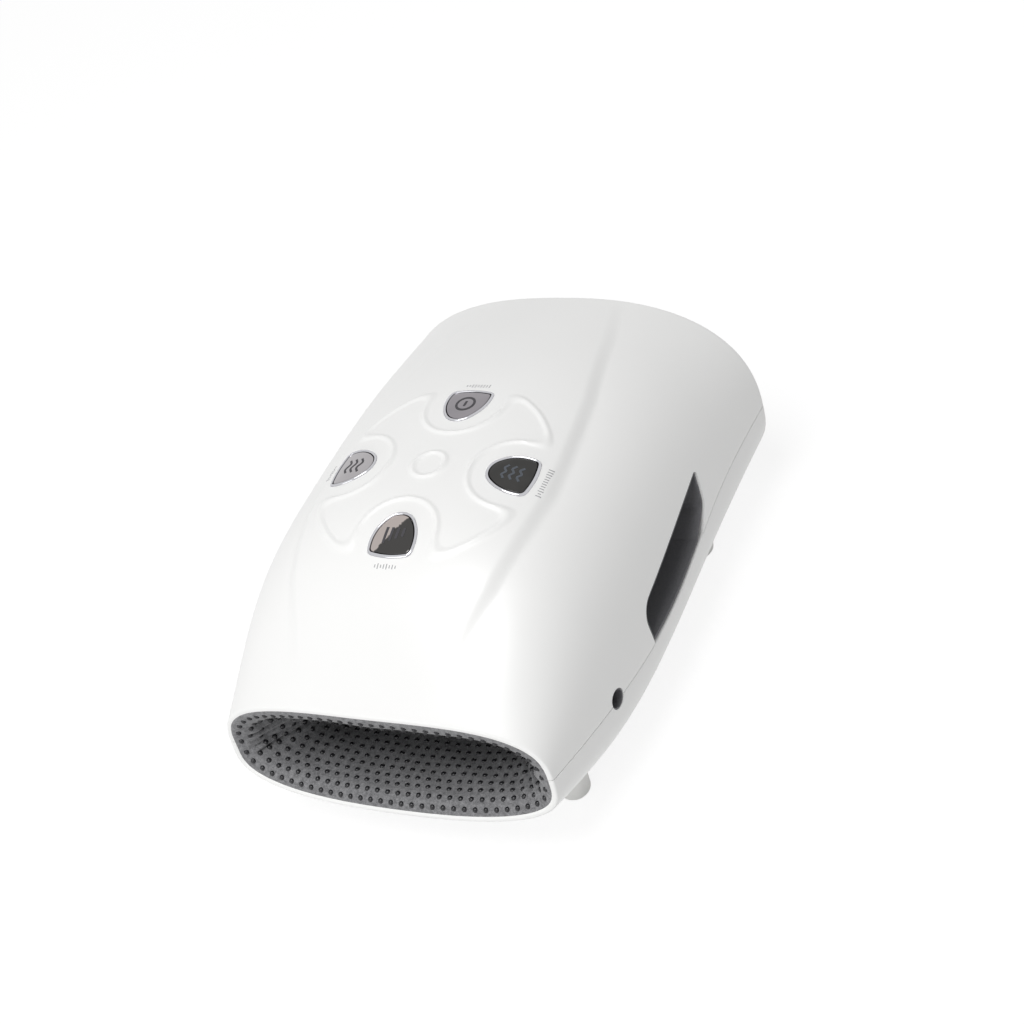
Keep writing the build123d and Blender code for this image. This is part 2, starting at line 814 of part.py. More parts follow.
# Release valve with its plunger, on a saddle, and the hoses with their tee
valve_y = -48.0
valve_left = -12.0
valve_length = 20.0
valve_size = 12.0
plunger_radius = 2.0
plunger_length = 10.0
plunger_out = 3.5
plunger_travel = 1.0
valve_right = valve_left + valve_length
plunger_start = valve_right + plunger_out - plunger_length
tee_height = pump_height
tee_half = tee_size / 2
with BuildPart() as release_valve:
    with BuildSketch(Plane.YZ.offset(valve_left)):
        with Locations((valve_y, tee_height)):
            Rectangle(valve_size, valve_size)
    extrude(amount=valve_length)
    bore_start = plunger_start - plunger_travel - layer_gap
    round_along_x(
        valve_y, tee_height, plunger_radius + running_gap, bore_start, valve_right - bore_start, Mode.SUBTRACT
    )
    round_along_x(tee_y, tee_height, nipple_radius, valve_left - nipple_length, nipple_length)
write(release_valve, "release_valve")

with BuildPart() as valve_plunger:
    round_along_x(valve_y, tee_height, plunger_radius, plunger_start, plunger_length)
write(valve_plunger, "valve_plunger")

with BuildPart() as valve_saddle:
    valve_middle = (valve_left + valve_length / 2, valve_y)
    saddle(valve_middle, valve_length, valve_size, tee_height - valve_size / 2)
write(valve_saddle, "valve_saddle")

with BuildPart() as hose_tee:
    with BuildSketch(Plane.XY.offset(tee_height - tee_half)):
        with Locations((pump_x, tee_y)):
            Rectangle(tee_size, tee_size)
    extrude(amount=tee_size)
    round_along_y(pump_x, tee_height, nipple_radius, tee_y + tee_half, nipple_length)
    round_along_x(tee_y, tee_height, nipple_radius, pump_x + tee_half, nipple_length)
    with BuildSketch(Plane.XY.offset(tee_height - tee_half - nipple_length)):
        with Locations((pump_x, tee_y)):
            Circle(nipple_radius)
    extrude(amount=nipple_length)
write(hose_tee, "hose_tee")

with BuildPart() as pump_hose:
    start = tee_y + tee_half + hose_gap
    span = pump_head_front - hose_gap - start
    round_along_y(pump_x, tee_height, hose_radius, start, span)
    round_along_y(pump_x, tee_height, hose_bore, start, span, Mode.SUBTRACT)
write(pump_hose, "pump_hose")

with BuildPart() as valve_hose:
    start = pump_x + tee_half + hose_gap
    span = valve_left - hose_gap - start
    round_along_x(tee_y, tee_height, hose_radius, start, span)
    round_along_x(tee_y, tee_height, hose_bore, start, span, Mode.SUBTRACT)
write(valve_hose, "valve_hose")

with BuildPart() as airbag_hose:
    low = cradle_surface(pump_x, tee_y, 0) + hose_gap
    with BuildSketch(Plane.XY.offset(low)):
        with Locations((pump_x, tee_y)):
            Circle(hose_radius)
            Circle(hose_bore, mode=Mode.SUBTRACT)
    extrude(amount=tee_height - tee_half - hose_gap - low)
write(airbag_hose, "airbag_hose")

# Vibration motors with their clamps and eccentric weights
vibration_x = 30.0
vibration_height = 79.0
vibration_front = 36.0
vibration_length = 20.0
vibration_radius = 7.0
weight_radius = 6.2
weight_length = 8.0
weight_gap = 1.0
weight_hub_radius = 2.2
clamp_inset = 3.0
clamp_wall = 2.0
for name, x in (("right", vibration_x), ("left", -vibration_x)):
    motor_back = vibration_front + vibration_length
    with BuildPart() as vibration_motor:
        round_along_y(x, vibration_height, vibration_radius, vibration_front, vibration_length)
        bore_radius = shaft_radius + running_gap
        bore_start = motor_back - shaft_depth
        round_along_y(x, vibration_height, bore_radius, bore_start, shaft_depth, Mode.SUBTRACT)
    write(vibration_motor, name + "_vibration_motor")
    with BuildPart() as motor_clamp:
        clamp_length = vibration_length - 2 * clamp_inset
        saddle(
            (x, vibration_front + vibration_length / 2),
            2 * (vibration_radius + clamp_wall),
            clamp_length,
            vibration_height,
        )
        round_along_y(
            x, vibration_height, vibration_radius, vibration_front, vibration_length, Mode.SUBTRACT
        )
    write(motor_clamp, name + "_motor_clamp")
    with BuildPart() as eccentric_weight:
        round_along_y(x, vibration_height, weight_radius, motor_back + weight_gap, weight_length)
        with BuildSketch(Plane.XZ.offset(-motor_back - weight_gap)):
            with Locations((x, vibration_height + weight_radius)):
                Rectangle(2 * weight_radius, 2 * weight_radius)
        extrude(amount=-weight_length, mode=Mode.SUBTRACT)
        round_along_y(x, vibration_height, weight_hub_radius, motor_back + weight_gap, weight_length)
        shaft_start = motor_back - shaft_depth + layer_gap
        round_along_y(
            x, vibration_height, shaft_radius, shaft_start, motor_back + weight_gap - shaft_start
        )
    write(eccentric_weight, name + "_eccentric_weight")
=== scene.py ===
import json
from math import acos, atan2, cos, pi, radians, sin

import bmesh
import bpy
import numpy as np
from mathutils import Matrix


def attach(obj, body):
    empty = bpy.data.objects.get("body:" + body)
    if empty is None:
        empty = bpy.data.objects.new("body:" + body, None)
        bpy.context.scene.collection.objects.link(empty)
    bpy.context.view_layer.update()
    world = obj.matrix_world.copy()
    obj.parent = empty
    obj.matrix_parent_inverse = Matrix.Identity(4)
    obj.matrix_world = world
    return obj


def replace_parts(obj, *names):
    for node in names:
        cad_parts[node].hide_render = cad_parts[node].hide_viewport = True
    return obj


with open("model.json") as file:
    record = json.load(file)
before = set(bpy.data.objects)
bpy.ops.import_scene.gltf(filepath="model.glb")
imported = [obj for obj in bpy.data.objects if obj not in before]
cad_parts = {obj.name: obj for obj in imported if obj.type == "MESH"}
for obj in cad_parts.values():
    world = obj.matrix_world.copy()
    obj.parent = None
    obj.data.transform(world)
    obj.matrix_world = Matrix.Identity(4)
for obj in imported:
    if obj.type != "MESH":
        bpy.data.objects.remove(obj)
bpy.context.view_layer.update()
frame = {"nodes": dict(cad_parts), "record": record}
mm = 0.001

# Body of the massager, in metres. Shares follow the five stations from the finger end to the wrist end
bodyForm = {
    "front": -0.1076,
    "back": 0.1012,
    "halfWidth": 0.079,
    "top": 0.1075,
    "bottom": 0.0084,
    "wall": 0.0028,
    "frontLean": 0.16,
    "backLean": 0.19,
    "rimBow": 0.0037,
    "widthShares": (0.886, 0.968, 1.0, 1.006, 1.038),
    "levelShares": (0.393, 0.316, 0.298, 0.323, 0.359),
    "topShares": (0.647, 0.941, 1.0, 0.963, 0.831),
    "bottomShares": (2.667, 0.95, 1.0, 1.0, 1.0),
    "upperPowers": (2.9, 2.8, 2.7, 2.6, 2.45),
    "lowerPowers": (3.1, 2.9, 2.8, 2.75, 2.75),
    "seamShares": (0.42, 0.348, 0.3125, 0.3665, 0.375),
}
# Space for the hand, on the same stations
cavityForm = {
    "halfWidth": 0.060,
    "top": 0.057,
    "bottom": 0.021,
    "widthShares": (1.037, 1.0, 1.0, 1.03, 1.167),
    "topShares": (1.091, 1.018, 1.0, 1.035, 1.298),
    "bottomShares": (1.419, 1.048, 1.0, 1.0, 1.1),
    "upperPowers": bodyForm["upperPowers"],
    "lowerPowers": bodyForm["lowerPowers"],
}
# Cradle inside the shell, which the airbag and the foam lie against
cradleForm = {
    "halfWidth": 0.0745,
    "top": 0.0655,
    "bottom": 0.0124,
    "widthShares": (0.885, 0.973, 1.0, 1.0, 1.02),
    "topShares": (1.012, 1.0, 1.0, 1.015, 1.192),
    "bottomShares": (2.1, 1.016, 1.0, 1.0, 1.532),
    "upperPowers": (2.9, 3.4, 3.6, 3.4, 2.6),
    "lowerPowers": bodyForm["lowerPowers"],
}
bodyLength = bodyForm["back"] - bodyForm["front"]


def alongBody(values, share):
    # natural cubic through the five stations
    values = np.array(values, float)
    bend = np.zeros(5)
    second = 6 * (values[:-2] - 2 * values[1:-1] + values[2:])
    bend[1:4] = np.linalg.solve([[4, 1, 0], [1, 4, 1], [0, 1, 4]], second)
    spot = np.clip(share, 0, 1) * 4
    k = np.clip(np.floor(spot), 0, 3).astype(int)
    far = spot - k
    near = 1 - far
    curve = (near ** 3 - near) * bend[k] + (far ** 3 - far) * bend[k + 1]
    return near * values[k] + far * values[k + 1] + curve / 6


def smoothStep(value):
    value = np.clip(value, 0, 1)
    return value * value * (3 - 2 * value)


def leanAt(share):
    end = 2 * np.asarray(share, float) - 1
    return np.where(end < 0, bodyForm["frontLean"], bodyForm["backLean"]) * end ** 4


def sectionSizes(form, share, inset=0.0):
    # height of a section's widest level, its half width there, and its rise and drop from it
    level = bodyForm["top"] * alongBody(bodyForm["levelShares"], share)
    halfWidth = form["halfWidth"] * alongBody(form["widthShares"], share) - inset
    rise = form["top"] * alongBody(form["topShares"], share) - inset - level
    drop = level - form["bottom"] * alongBody(form["bottomShares"], share) - inset
    return level, halfWidth, rise, drop


def formPoints(form, share, angle, inset=0.0):
    # points round a section, angle 0 at +X and 90 degrees at the top
    share, angle = np.broadcast_arrays(np.asarray(share, float), np.asarray(angle, float))
    across, up = np.cos(angle), np.sin(angle)
    level, halfWidth, rise, drop = sectionSizes(form, share, inset)
    upper = alongBody(form["upperPowers"], share)
    power = np.where(up > 0, upper, alongBody(form["lowerPowers"], share))
    reach = (np.abs(across) ** power + np.abs(up) ** power) ** (-1 / power)
    x = halfWidth * reach * across
    height = np.where(up > 0, rise, drop) * reach * up
    end = 2 * share - 1
    bow = np.where(end < 0, bodyForm["rimBow"], 0) * end ** 4 * (x / halfWidth) ** 2
    y = bodyForm["front"] + bodyLength * share + leanAt(share) * height + bow
    return np.stack([x, y, level + height], axis=-1)


def seamAngle(form, share, inset=0.0, shift=0.0):
    # angle round a section at which it meets the parting line
    level, _, rise, _ = sectionSizes(form, share, inset)
    part = (bodyForm["top"] * alongBody(bodyForm["seamShares"], share) + shift - level) / rise
    power = alongBody(form["upperPowers"], share)
    return np.arctan2(part, (1 - np.abs(part) ** power) ** (1 / power))


def surfaceHeight(x, y, upper=True):
    # height of the body's outer face over x, y
    share = (y - bodyForm["front"]) / bodyLength
    for _ in range(4):
        level, halfWidth, rise, drop = sectionSizes(bodyForm, share)
        power = alongBody(bodyForm["upperPowers" if upper else "lowerPowers"], share)
        height = (1 - np.minimum(np.abs(x / halfWidth), 1) ** power) ** (1 / power)
        height = height * (rise if upper else -drop)
        share = (y - leanAt(share) * height - bodyForm["front"]) / bodyLength
    return level + height


def surfaceReach(form, y, z, inset=0.0):
    # x of a form's right side at y, z
    share = (y - bodyForm["front"]) / bodyLength
    for _ in range(3):
        level = bodyForm["top"] * alongBody(bodyForm["levelShares"], share)
        share = (y - leanAt(share) * (z - level) - bodyForm["front"]) / bodyLength
    level, halfWidth, rise, drop = sectionSizes(form, share, inset)
    above = z > level
    part = np.abs(z - level) / np.where(above, rise, drop)
    power = np.where(above, alongBody(form["upperPowers"], share), alongBody(form["lowerPowers"], share))
    return halfWidth * (1 - np.minimum(part, 1) ** power) ** (1 / power)


def seamHeight(y):
    return bodyForm["top"] * alongBody(bodyForm["seamShares"], (y - bodyForm["front"]) / bodyLength)


def gridFaces(rows, columns, closeRows=False, closeColumns=False):
    faces = []
    for r in range(rows if closeRows else rows - 1):
        for c in range(columns if closeColumns else columns - 1):
            a, b = r * columns, (r + 1) % rows * columns
            d = (c + 1) % columns
            faces.append((a + c, a + d, b + d, b + c))
    return faces


def zipFaces(first, second, firstPlaces, secondPlaces):
    # triangles between two lines of points with different spacing
    faces, i, j = [], 0, 0
    while i < len(first) - 1 or j < len(second) - 1:
        ahead = j == len(second) - 1 or (i < len(first) - 1 and firstPlaces[i + 1] <= secondPlaces[j + 1])
        if ahead:
            faces.append((first[i], first[i + 1], second[j]))
            i += 1
        else:
            faces.append((first[i], second[j + 1], second[j]))
            j += 1
    return faces


def addPiece(name, vertices, faces, material, slot=None, body="casing", sharp=35):
    mesh = bpy.data.meshes.new(name)
    mesh.from_pydata(np.asarray(vertices).tolist(), [], faces)
    mesh.materials.append(material)
    piece = bpy.data.objects.new(name, mesh)
    bpy.context.scene.collection.objects.link(piece)
    finishMesh(piece, sharp)
    if slot:
        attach(piece, body)
    return piece


def finishMesh(piece, sharp=35):
    # all faces outwards and smooth, sharp only over the given angle
    mesh = piece.data
    work = bmesh.new()
    work.from_mesh(mesh)
    bmesh.ops.recalc_face_normals(work, faces=work.faces)
    work.to_mesh(mesh)
    work.free()
    mesh.polygons.foreach_set("use_smooth", [True] * len(mesh.polygons))
    mesh.set_sharp_from_angle(angle=radians(sharp))
    mesh.update()


def joinMeshes(parts):
    # one list of vertices and faces from several
    vertices, faces = [], []
    for points, ownFaces in parts:
        start = len(vertices)
        vertices.extend(np.asarray(points).reshape(-1, 3).tolist())
        faces.extend(tuple(i + start for i in face) for face in ownFaces)
    return vertices, faces


def ringMesh(rings, closed=False):
    # skin over a stack of rings; a stack that isn't closed gets a cap at each end
    rings = np.array(rings)
    rows, columns = rings.shape[:2]
    faces = gridFaces(rows, columns, closeRows=closed, closeColumns=True)
    if not closed:
        faces += [tuple(range(columns))[::-1], tuple(range((rows - 1) * columns, rows * columns))]
    return rings.reshape(-1, 3), faces


def prism(outline, axis, low, high):
    # closed prism on an outline drawn across the x or z axis
    rings = []
    for depth in (low, high):
        rings.append([(depth, a, b) if axis == "x" else (a, b, depth) for a, b in outline])
    return ringMesh(rings)


def cutAway(piece, prisms):
    cutter = addPiece("cutter", *joinMeshes(prisms), piece.data.materials[0])
    cut = piece.modifiers.new("cut", "BOOLEAN")
    cut.object = cutter
    cut.operation = "DIFFERENCE"
    cut.solver = "MANIFOLD"
    bpy.context.view_layer.update()
    ready = piece.evaluated_get(bpy.context.evaluated_depsgraph_get())
    old, material = piece.data, piece.data.materials[0]
    piece.data = bpy.data.meshes.new_from_object(ready)
    piece.modifiers.clear()
    piece.data.materials.clear()
    piece.data.materials.append(material)
    piece.data.polygons.foreach_set("material_index", [0] * len(piece.data.polygons))
    bpy.data.meshes.remove(old)
    bpy.data.objects.remove(cutter)
    finishMesh(piece)


# Colours, finishes and the one function that adds a node
def linearColor(hexColor):
    channels = [int(hexColor[i:i + 2], 16) / 255 for i in (1, 3, 5)]
    return (*[c / 12.92 if c <= 0.04045 else ((c + 0.055) / 1.055) ** 2.4 for c in channels], 1)


def addNode(tree, kind, inputs=None, **settings):
    node = tree.nodes.new("ShaderNode" + kind)
    for name, value in settings.items():
        setattr(node, name, value)
    for name, value in (inputs or {}).items():
        if isinstance(value, bpy.types.NodeSocket):
            tree.links.new(value, node.inputs[name])
        else:
            node.inputs[name].default_value = value
    return node


def startMaterial(name, color, roughness, sockets=None):
    material = bpy.data.materials.new(name)
    material.use_nodes = True
    tree = material.node_tree
    tree.nodes.clear()
    inputs = {"Base Color": linearColor(color), "Roughness": roughness}
    inputs.update(sockets or {})
    surface = addNode(tree, "BsdfPrincipled", inputs)
    addNode(tree, "OutputMaterial", {"Surface": surface.outputs["BSDF"]})
    place = addNode(tree, "TexCoord").outputs["Object"]
    return material, tree, surface, place


def varyColor(tree, surface, place, size, first, second, detail=2.0):
    # two close tones in soft patches of the given size
    patch = addNode(tree, "TexNoise", {"Vector": place, "Scale": 1 / size, "Detail": detail})
    tones = {"Fac": patch.outputs["Fac"], "Color1": linearColor(first), "Color2": linearColor(second)}
    tree.links.new(addNode(tree, "MixRGB", tones).outputs["Color"], surface.inputs["Base Color"])


def varyRoughness(tree, surface, place, size, low, high):
    patch = addNode(tree, "TexNoise", {"Vector": place, "Scale": 1 / size, "Detail": 3.0})
    limits = {"Value": patch.outputs["Fac"], "To Min": low, "To Max": high}
    tree.links.new(addNode(tree, "MapRange", limits).outputs["Result"], surface.inputs["Roughness"])


def addRelief(tree, surface, height, depth, strength):
    bump = addNode(tree, "Bump", {"Height": height, "Distance": depth, "Strength": strength})
    tree.links.new(bump.outputs["Normal"], surface.inputs["Normal"])


def addGrain(tree, surface, place, size, detail, depth, strength):
    # irregular relief whose bumps are of the given size
    grain = addNode(tree, "TexNoise", {"Vector": place, "Scale": 1 / size, "Detail": detail})
    addRelief(tree, surface, grain.outputs["Fac"], depth, strength)


shellLook = {"white": "#F1F1F0", "shade": "#ECECEB", "patch": 60 * mm, "grain": 0.6 * mm, "depth": 0.006 * mm}


def mouldedAbs():
    # satin ABS from a spark-eroded mould: a wide soft highlight, broken by fine grain drawn a little coarse
    look = shellLook
    material, tree, surface, place = startMaterial("mouldedAbs", look["white"], 0.36, {"IOR": 1.53})
    varyColor(tree, surface, place, look["patch"], look["white"], look["shade"])
    varyRoughness(tree, surface, place, 18 * mm, 0.33, 0.40)
    addGrain(tree, surface, place, look["grain"], 2.0, look["depth"], 0.5)
    return material


def mouldedTpe():
    # soft white TPE of the feet: dull, about as white as the shell, with a faint rubbery tooth
    material, tree, surface, place = startMaterial("mouldedTpe", "#F3F3F1", 0.55, {"IOR": 1.5})
    varyColor(tree, surface, place, 6 * mm, "#F3F3F1", "#ECECE9")
    addGrain(tree, surface, place, 0.4 * mm, 3.0, 0.02 * mm, 0.6)
    return material


def mirrorAcrylic(name, color, deep, reflectionPanel=None):
    # back-silvered acrylic: a dark mirror with a faint haze of handling; the split paints a reflected light
    # panel over one part of it as a pale tone beside the deep one (painted reflection)
    material, tree, surface, place = startMaterial(name, color, 0.1, {"Metallic": 1.0})
    if not reflectionPanel:
        varyColor(tree, surface, place, 9 * mm, color, deep)
    else:
        # painted reflection: the pale tone on one side of a ragged straight line, the deep tone on the other
        spot, across, ragged = reflectionPanel
        noise = addNode(tree, "TexNoise", {"Vector": place, "Scale": 1 / (1.6 * mm), "Detail": 1.0})
        fromEdge = addNode(tree, "VectorMath", {0: place, 1: spot}, operation="SUBTRACT")
        reach = addNode(tree, "VectorMath", {0: fromEdge.outputs[0], 1: across}, operation="DOT_PRODUCT")
        shift = addNode(tree, "Math", {0: noise.outputs["Fac"], 1: ragged, 2: reach.outputs["Value"]},
                        operation="MULTIPLY_ADD")
        middle, soft = ragged / 2, 0.2 * mm
        limits = {"Value": shift.outputs[0], "From Min": middle - soft, "From Max": middle + soft}
        mix = addNode(tree, "MapRange", limits)
        tones = {"Fac": mix.outputs["Result"], "Color1": linearColor(color), "Color2": linearColor(deep)}
        tree.links.new(addNode(tree, "MixRGB", tones).outputs["Color"], surface.inputs["Base Color"])
    varyRoughness(tree, surface, place, 5 * mm, 0.06, 0.14)
    return material


def platedChrome():
    # bright chrome plating on ABS: near white, with the slight waviness of the plastic under it
    material, tree, surface, place = startMaterial("platedChrome", "#C4C4C8", 0.08, {"Metallic": 1.0})
    varyRoughness(tree, surface, place, 3 * mm, 0.05, 0.12)
    addGrain(tree, surface, place, 1.5 * mm, 1.0, 0.01 * mm, 0.4)
    return material


fabricLook = {"light": "#969698", "dark": "#505052", "thread": 0.7 * mm, "nap": 0.25 * mm}


def brushedTricot():
    # brushed polyester tricot: mid grey, cloudy from the raised nap, threads drawn a little coarse
    look = fabricLook
    sheen = {"Sheen Weight": 0.25, "Sheen Roughness": 0.5, "IOR": 1.45}
    material, tree, surface, place = startMaterial("brushedTricot", look["light"], 0.85, sheen)
    cloudy = {"Vector": place, "Scale": 1 / (1.3 * mm), "Detail": 4.0, "Roughness": 0.7}
    cloud = addNode(tree, "TexNoise", cloudy)
    fibre = addNode(tree, "TexNoise", {"Vector": place, "Scale": 1 / look["nap"], "Detail": 3.0})
    both = addNode(tree, "Math", {0: cloud.outputs["Fac"], 1: fibre.outputs["Fac"]}, operation="MULTIPLY")
    spread = addNode(tree, "MapRange", {"Value": both.outputs["Value"], "From Min": 0.12, "From Max": 0.4})
    tones = {"Color1": linearColor(look["dark"]), "Color2": linearColor(look["light"])}
    tones["Fac"] = spread.outputs["Result"]
    tree.links.new(addNode(tree, "MixRGB", tones).outputs["Color"], surface.inputs["Base Color"])
    knit = addNode(tree, "TexVoronoi", {"Vector": place, "Scale": 1 / look["thread"]})
    addRelief(tree, surface, knit.outputs["Distance"], 0.12 * mm, 0.6)
    return material


def siliconeDot():
    # glossy black silicone, dripped on: round beads with one sharp highlight each
    material, tree, surface, place = startMaterial("siliconeDot", "#17171A", 0.2, {"IOR": 1.43})
    varyColor(tree, surface, place, 4 * mm, "#17171A", "#242428")
    varyRoughness(tree, surface, place, 2 * mm, 0.16, 0.3)
    return material


def printedInk(name, color):
    # pad-printed ink: thin, matt, faintly uneven
    material, tree, surface, place = startMaterial(name, color, 0.5)
    varyRoughness(tree, surface, place, 1 * mm, 0.42, 0.6)
    return material


# Finishes inside: name, two tones, patch in mm, roughness, metallic, bump depth in mm
innerLooks = {
    "frame_grey": ("mouldedPolypropylene", "#8A8D90", "#7F8286", 8.0, 0.5, 0.0, 0.02),  # waxy grey, soft
    "board_green": ("solderMaskedBoard", "#1F5A34", "#184A2A", 3.0, 0.3, 0.0, 0.01),  # glossy dark green
    "chip_black": ("mouldedEpoxy", "#1B1B1D", "#262628", 0.6, 0.45, 0.0, 0.02),  # dull black, gritty
    "steel": ("turnedSteel", "#A8A9AB", "#8E8F92", 0.8, 0.28, 1.0, 0.01),  # grey metal, fine marks
    "brass": ("turnedBrass", "#C39A4C", "#A9833C", 1.2, 0.3, 1.0, 0.01),  # warm yellow metal
    "battery_blue": ("shrunkPvcWrap", "#20438C", "#1A3873", 10.0, 0.35, 0.0, 0.02),  # smooth blue film
    "hose_clear": ("extrudedSilicone", "#CFCFC9", "#C0C0B8", 4.0, 0.3, 0.0, 0.01),  # milky, rubbery shine
    "heater_orange": ("polyimideFilm", "#B5651E", "#9C5417", 2.0, 0.3, 0.0, 0.02),  # amber film, even shine
    "bag_grey": ("weldedTpuFilm", "#4A4E54", "#3C4046", 6.0, 0.4, 0.0, 0.05),  # dark film, crumpled
    "foam_white": ("openCellFoam", "#D2D2C8", "#B4B4AA", 0.8, 0.9, 0.0, 0.2),  # cream, dull, pitted
    "sleeve_dark": ("calenderedNeoprene", "#747477", "#606063", 0.9, 0.6, 0.0, 0.06),  # dull rubbery grey
}


def innerFinish(slot):
    # two tones in patches of the real size, with a matching bump
    name, first, second, patch, roughness, metallic, depth = innerLooks[slot]
    material, tree, surface, place = startMaterial(name, first, roughness, {"Metallic": metallic})
    varyColor(tree, surface, place, patch * mm, first, second, 3.0)
    addGrain(tree, surface, place, patch * mm / 2, 2.0, depth * mm, 0.6)
    return material


shellWhite = mouldedAbs()
footWhite = mouldedTpe()
keyLight = mirrorAcrylic("mirrorAcrylic", "#9A969A", "#8C898D")
# heat key: the same acrylic as the power key, made paler as a painted reflection of light
keyPaintedLit = mirrorAcrylic("paintedLitMirrorAcrylic", "#B2AFB1", "#A6A3A5")
# vibration key: the same acrylic, made darker as a painted reflection of dark surroundings (painted shade)
keyPaintedShade = mirrorAcrylic("paintedShadeMirrorAcrylic", "#4B4A49", "#3A3A39")
# level key: the pale tone over one part is a painted reflection of a light panel, the dark tone a painted
# reflection of dark surroundings
keyPaintedReflection = mirrorAcrylic("paintedReflectionAcrylic", "#B4ABA7", "#4B4A49",
                         ((-1.0 * mm, -44.0 * mm, 0), (0.85, -0.53, 0), 1.6 * mm))
keyFaces = {"power": keyLight, "heat": keyPaintedLit, "level": keyPaintedReflection, "vibration": keyPaintedShade}
chrome = platedChrome()
fabric = brushedTricot()
silicone = siliconeDot()
tickInk = printedInk("greyInk", "#A4A4A6")
iconDark = printedInk("darkIconInk", "#302E33")
iconPale = printedInk("paleIconInk", "#454A52")
innerMaterials = {slot: innerFinish(slot) for slot in innerLooks}
darkLining = innerMaterials["sleeve_dark"]
for row in frame["record"]["subparts"]:
    if row["material_slot"] in innerMaterials:
        for place in frame["nodes"][row["node"]].material_slots:
            place.material = innerMaterials[row["material_slot"]]
print("materials are ready")

# Clover of raised beads round the keys, and the crease along each side of the top
clover = {
    "y": -10.5 * mm,
    "keyRing": 34.8 * mm,
    "outerRadius": 46.0 * mm,
    "keyRadius": 17.0 * mm,
    "cornerBlend": 9.0 * mm,
    "middleRadius": 6.6 * mm,
    "beadHalfWidth": 1.6 * mm,
    "beadHeight": 0.75 * mm,
}
crease = {
    "depth": 2.0 * mm,
    "innerReach": 6.0 * mm,
    "outerReach": 24.0 * mm,
    "endFade": 5.0 * mm,
    "lowest": 60 * mm,
    "line": ((-108, 24.8), (-87.7, 33.2), (-74.6, 37.3), (-59.6, 42.9), (-45, 46), (-30.5, 48.4), (-14.5, 50),
             (2.9, 49.2), (20.4, 47.7), (38, 45.6), (60.4, 40.6), (79.7, 36.4), (97, 31.2), (108, 27.9)),
    "shares": ((-100, 0.0), (-92, 0.1), (-80, 0.4), (-60, 0.75), (-45, 0.9), (-15, 1.0), (25, 1.0),
               (60, 0.75), (85, 0.4), (101, 0.2)),
}
keyTurns = {"power": 90, "heat": 180, "level": 270, "vibration": 0}


def keyCentre(turn):
    return clover["keyRing"] * cos(radians(turn)), clover["y"] + clover["keyRing"] * sin(radians(turn))


def bead(distance):
    part = np.clip(np.abs(distance) / clover["beadHalfWidth"], 0, 1)
    return clover["beadHeight"] * np.cos(part * pi / 2) ** 2


def cloverHeight(x, y):
    fromMiddle = np.hypot(x, y - clover["y"])
    nearKey = np.full(np.shape(x), 1.0)
    for turn in keyTurns.values():
        keyX, keyY = keyCentre(turn)
        nearKey = np.minimum(nearKey, np.hypot(x - keyX, y - keyY))
    outside = fromMiddle - clover["outerRadius"]
    inKey = clover["keyRadius"] - nearKey
    mix = np.clip(0.5 + 0.5 * (outside - inKey) / clover["cornerBlend"], 0, 1)
    edge = inKey * (1 - mix) + outside * mix + clover["cornerBlend"] * mix * (1 - mix)
    return np.maximum(bead(edge), bead(fromMiddle - clover["middleRadius"]))


def creaseDepth(x, y):
    line, steps = np.array(crease["line"]) * mm, np.array(crease["shares"])
    depth = crease["depth"] * np.interp(y, steps[:, 0] * mm, steps[:, 1])
    off = np.abs(x) - np.interp(y, line[:, 0], line[:, 1]) - crease["innerReach"] / 2
    inner = smoothStep(1 + off / crease["innerReach"])
    outer = (1 - np.clip(off / crease["outerReach"], 0, 1)) ** 2
    return depth * np.where(off < 0, inner, outer)


def gridNormals(points):
    normals = np.cross(np.gradient(points, axis=1), np.gradient(points, axis=0))
    return normals / np.maximum(np.linalg.norm(normals, axis=2, keepdims=True), 1e-12)


# Shells: outer rows, a rounded lip at each end and coarser inner rows, closed along the parting line
shellForm = {
    "lipOuter": 0.8 * mm,
    "lipInner": 1.4 * mm,
    "lipSteps": 6,
    "seamGap": 0.16 * mm,
    "seamRound": 0.3 * mm,
    "fine": 0.65 * mm,
    "middling": 1.3 * mm,
    "coarse": 2.4 * mm,
    "inner": 6.0 * mm,
    "fineReach": 51 * mm,
    "topZone": 70 * mm,
    "samples": 3000,
}


def walk(start, end, spacingAt):
    places = [start]
    while places[-1] < end:
        places.append(places[-1] + spacingAt(places[-1]))
    return start + (np.array(places) - start) * (end - start) / (places[-1] - start)


def rowShares(upper):
    def spacing(distance):
        y = bodyForm["front"] + distance
        if upper and abs(y - clover["y"]) < shellForm["fineReach"]:
            return shellForm["fine"]
        return shellForm["middling"] if upper else shellForm["coarse"]
    low = shellForm["lipOuter"]
    return walk(low, bodyLength - low, spacing) / bodyLength


def columnPlaces(upper):
    # share of the way round from seam to seam, and each column's distance from the nearer seam
    start = float(seamAngle(bodyForm, np.array(0.5)))
    angles = np.linspace(start, pi / 2 if upper else -pi / 2, shellForm["samples"])
    line = formPoints(bodyForm, 0.5, angles)
    along = np.concatenate([[0], np.cumsum(np.linalg.norm(np.diff(line, axis=0), axis=1))])

    def spacing(distance):
        x, _, z = line[min(np.searchsorted(along, distance), len(line) - 1)]
        if upper and x < shellForm["fineReach"]:
            return shellForm["fine"]
        return shellForm["middling"] if upper and z > shellForm["topZone"] else shellForm["coarse"]
    edge = np.array([0, 0.25, 0.6, 1.0]) * shellForm["seamRound"]
    half = np.concatenate([edge, walk(edge[-1], along[-1], spacing)[1:]])
    shares = np.interp(half, along, np.abs(angles - start) / abs(angles[-1] - start)) / 2
    return np.concatenate([shares, 1 - shares[-2::-1]]), np.concatenate([half, half[-2::-1]])


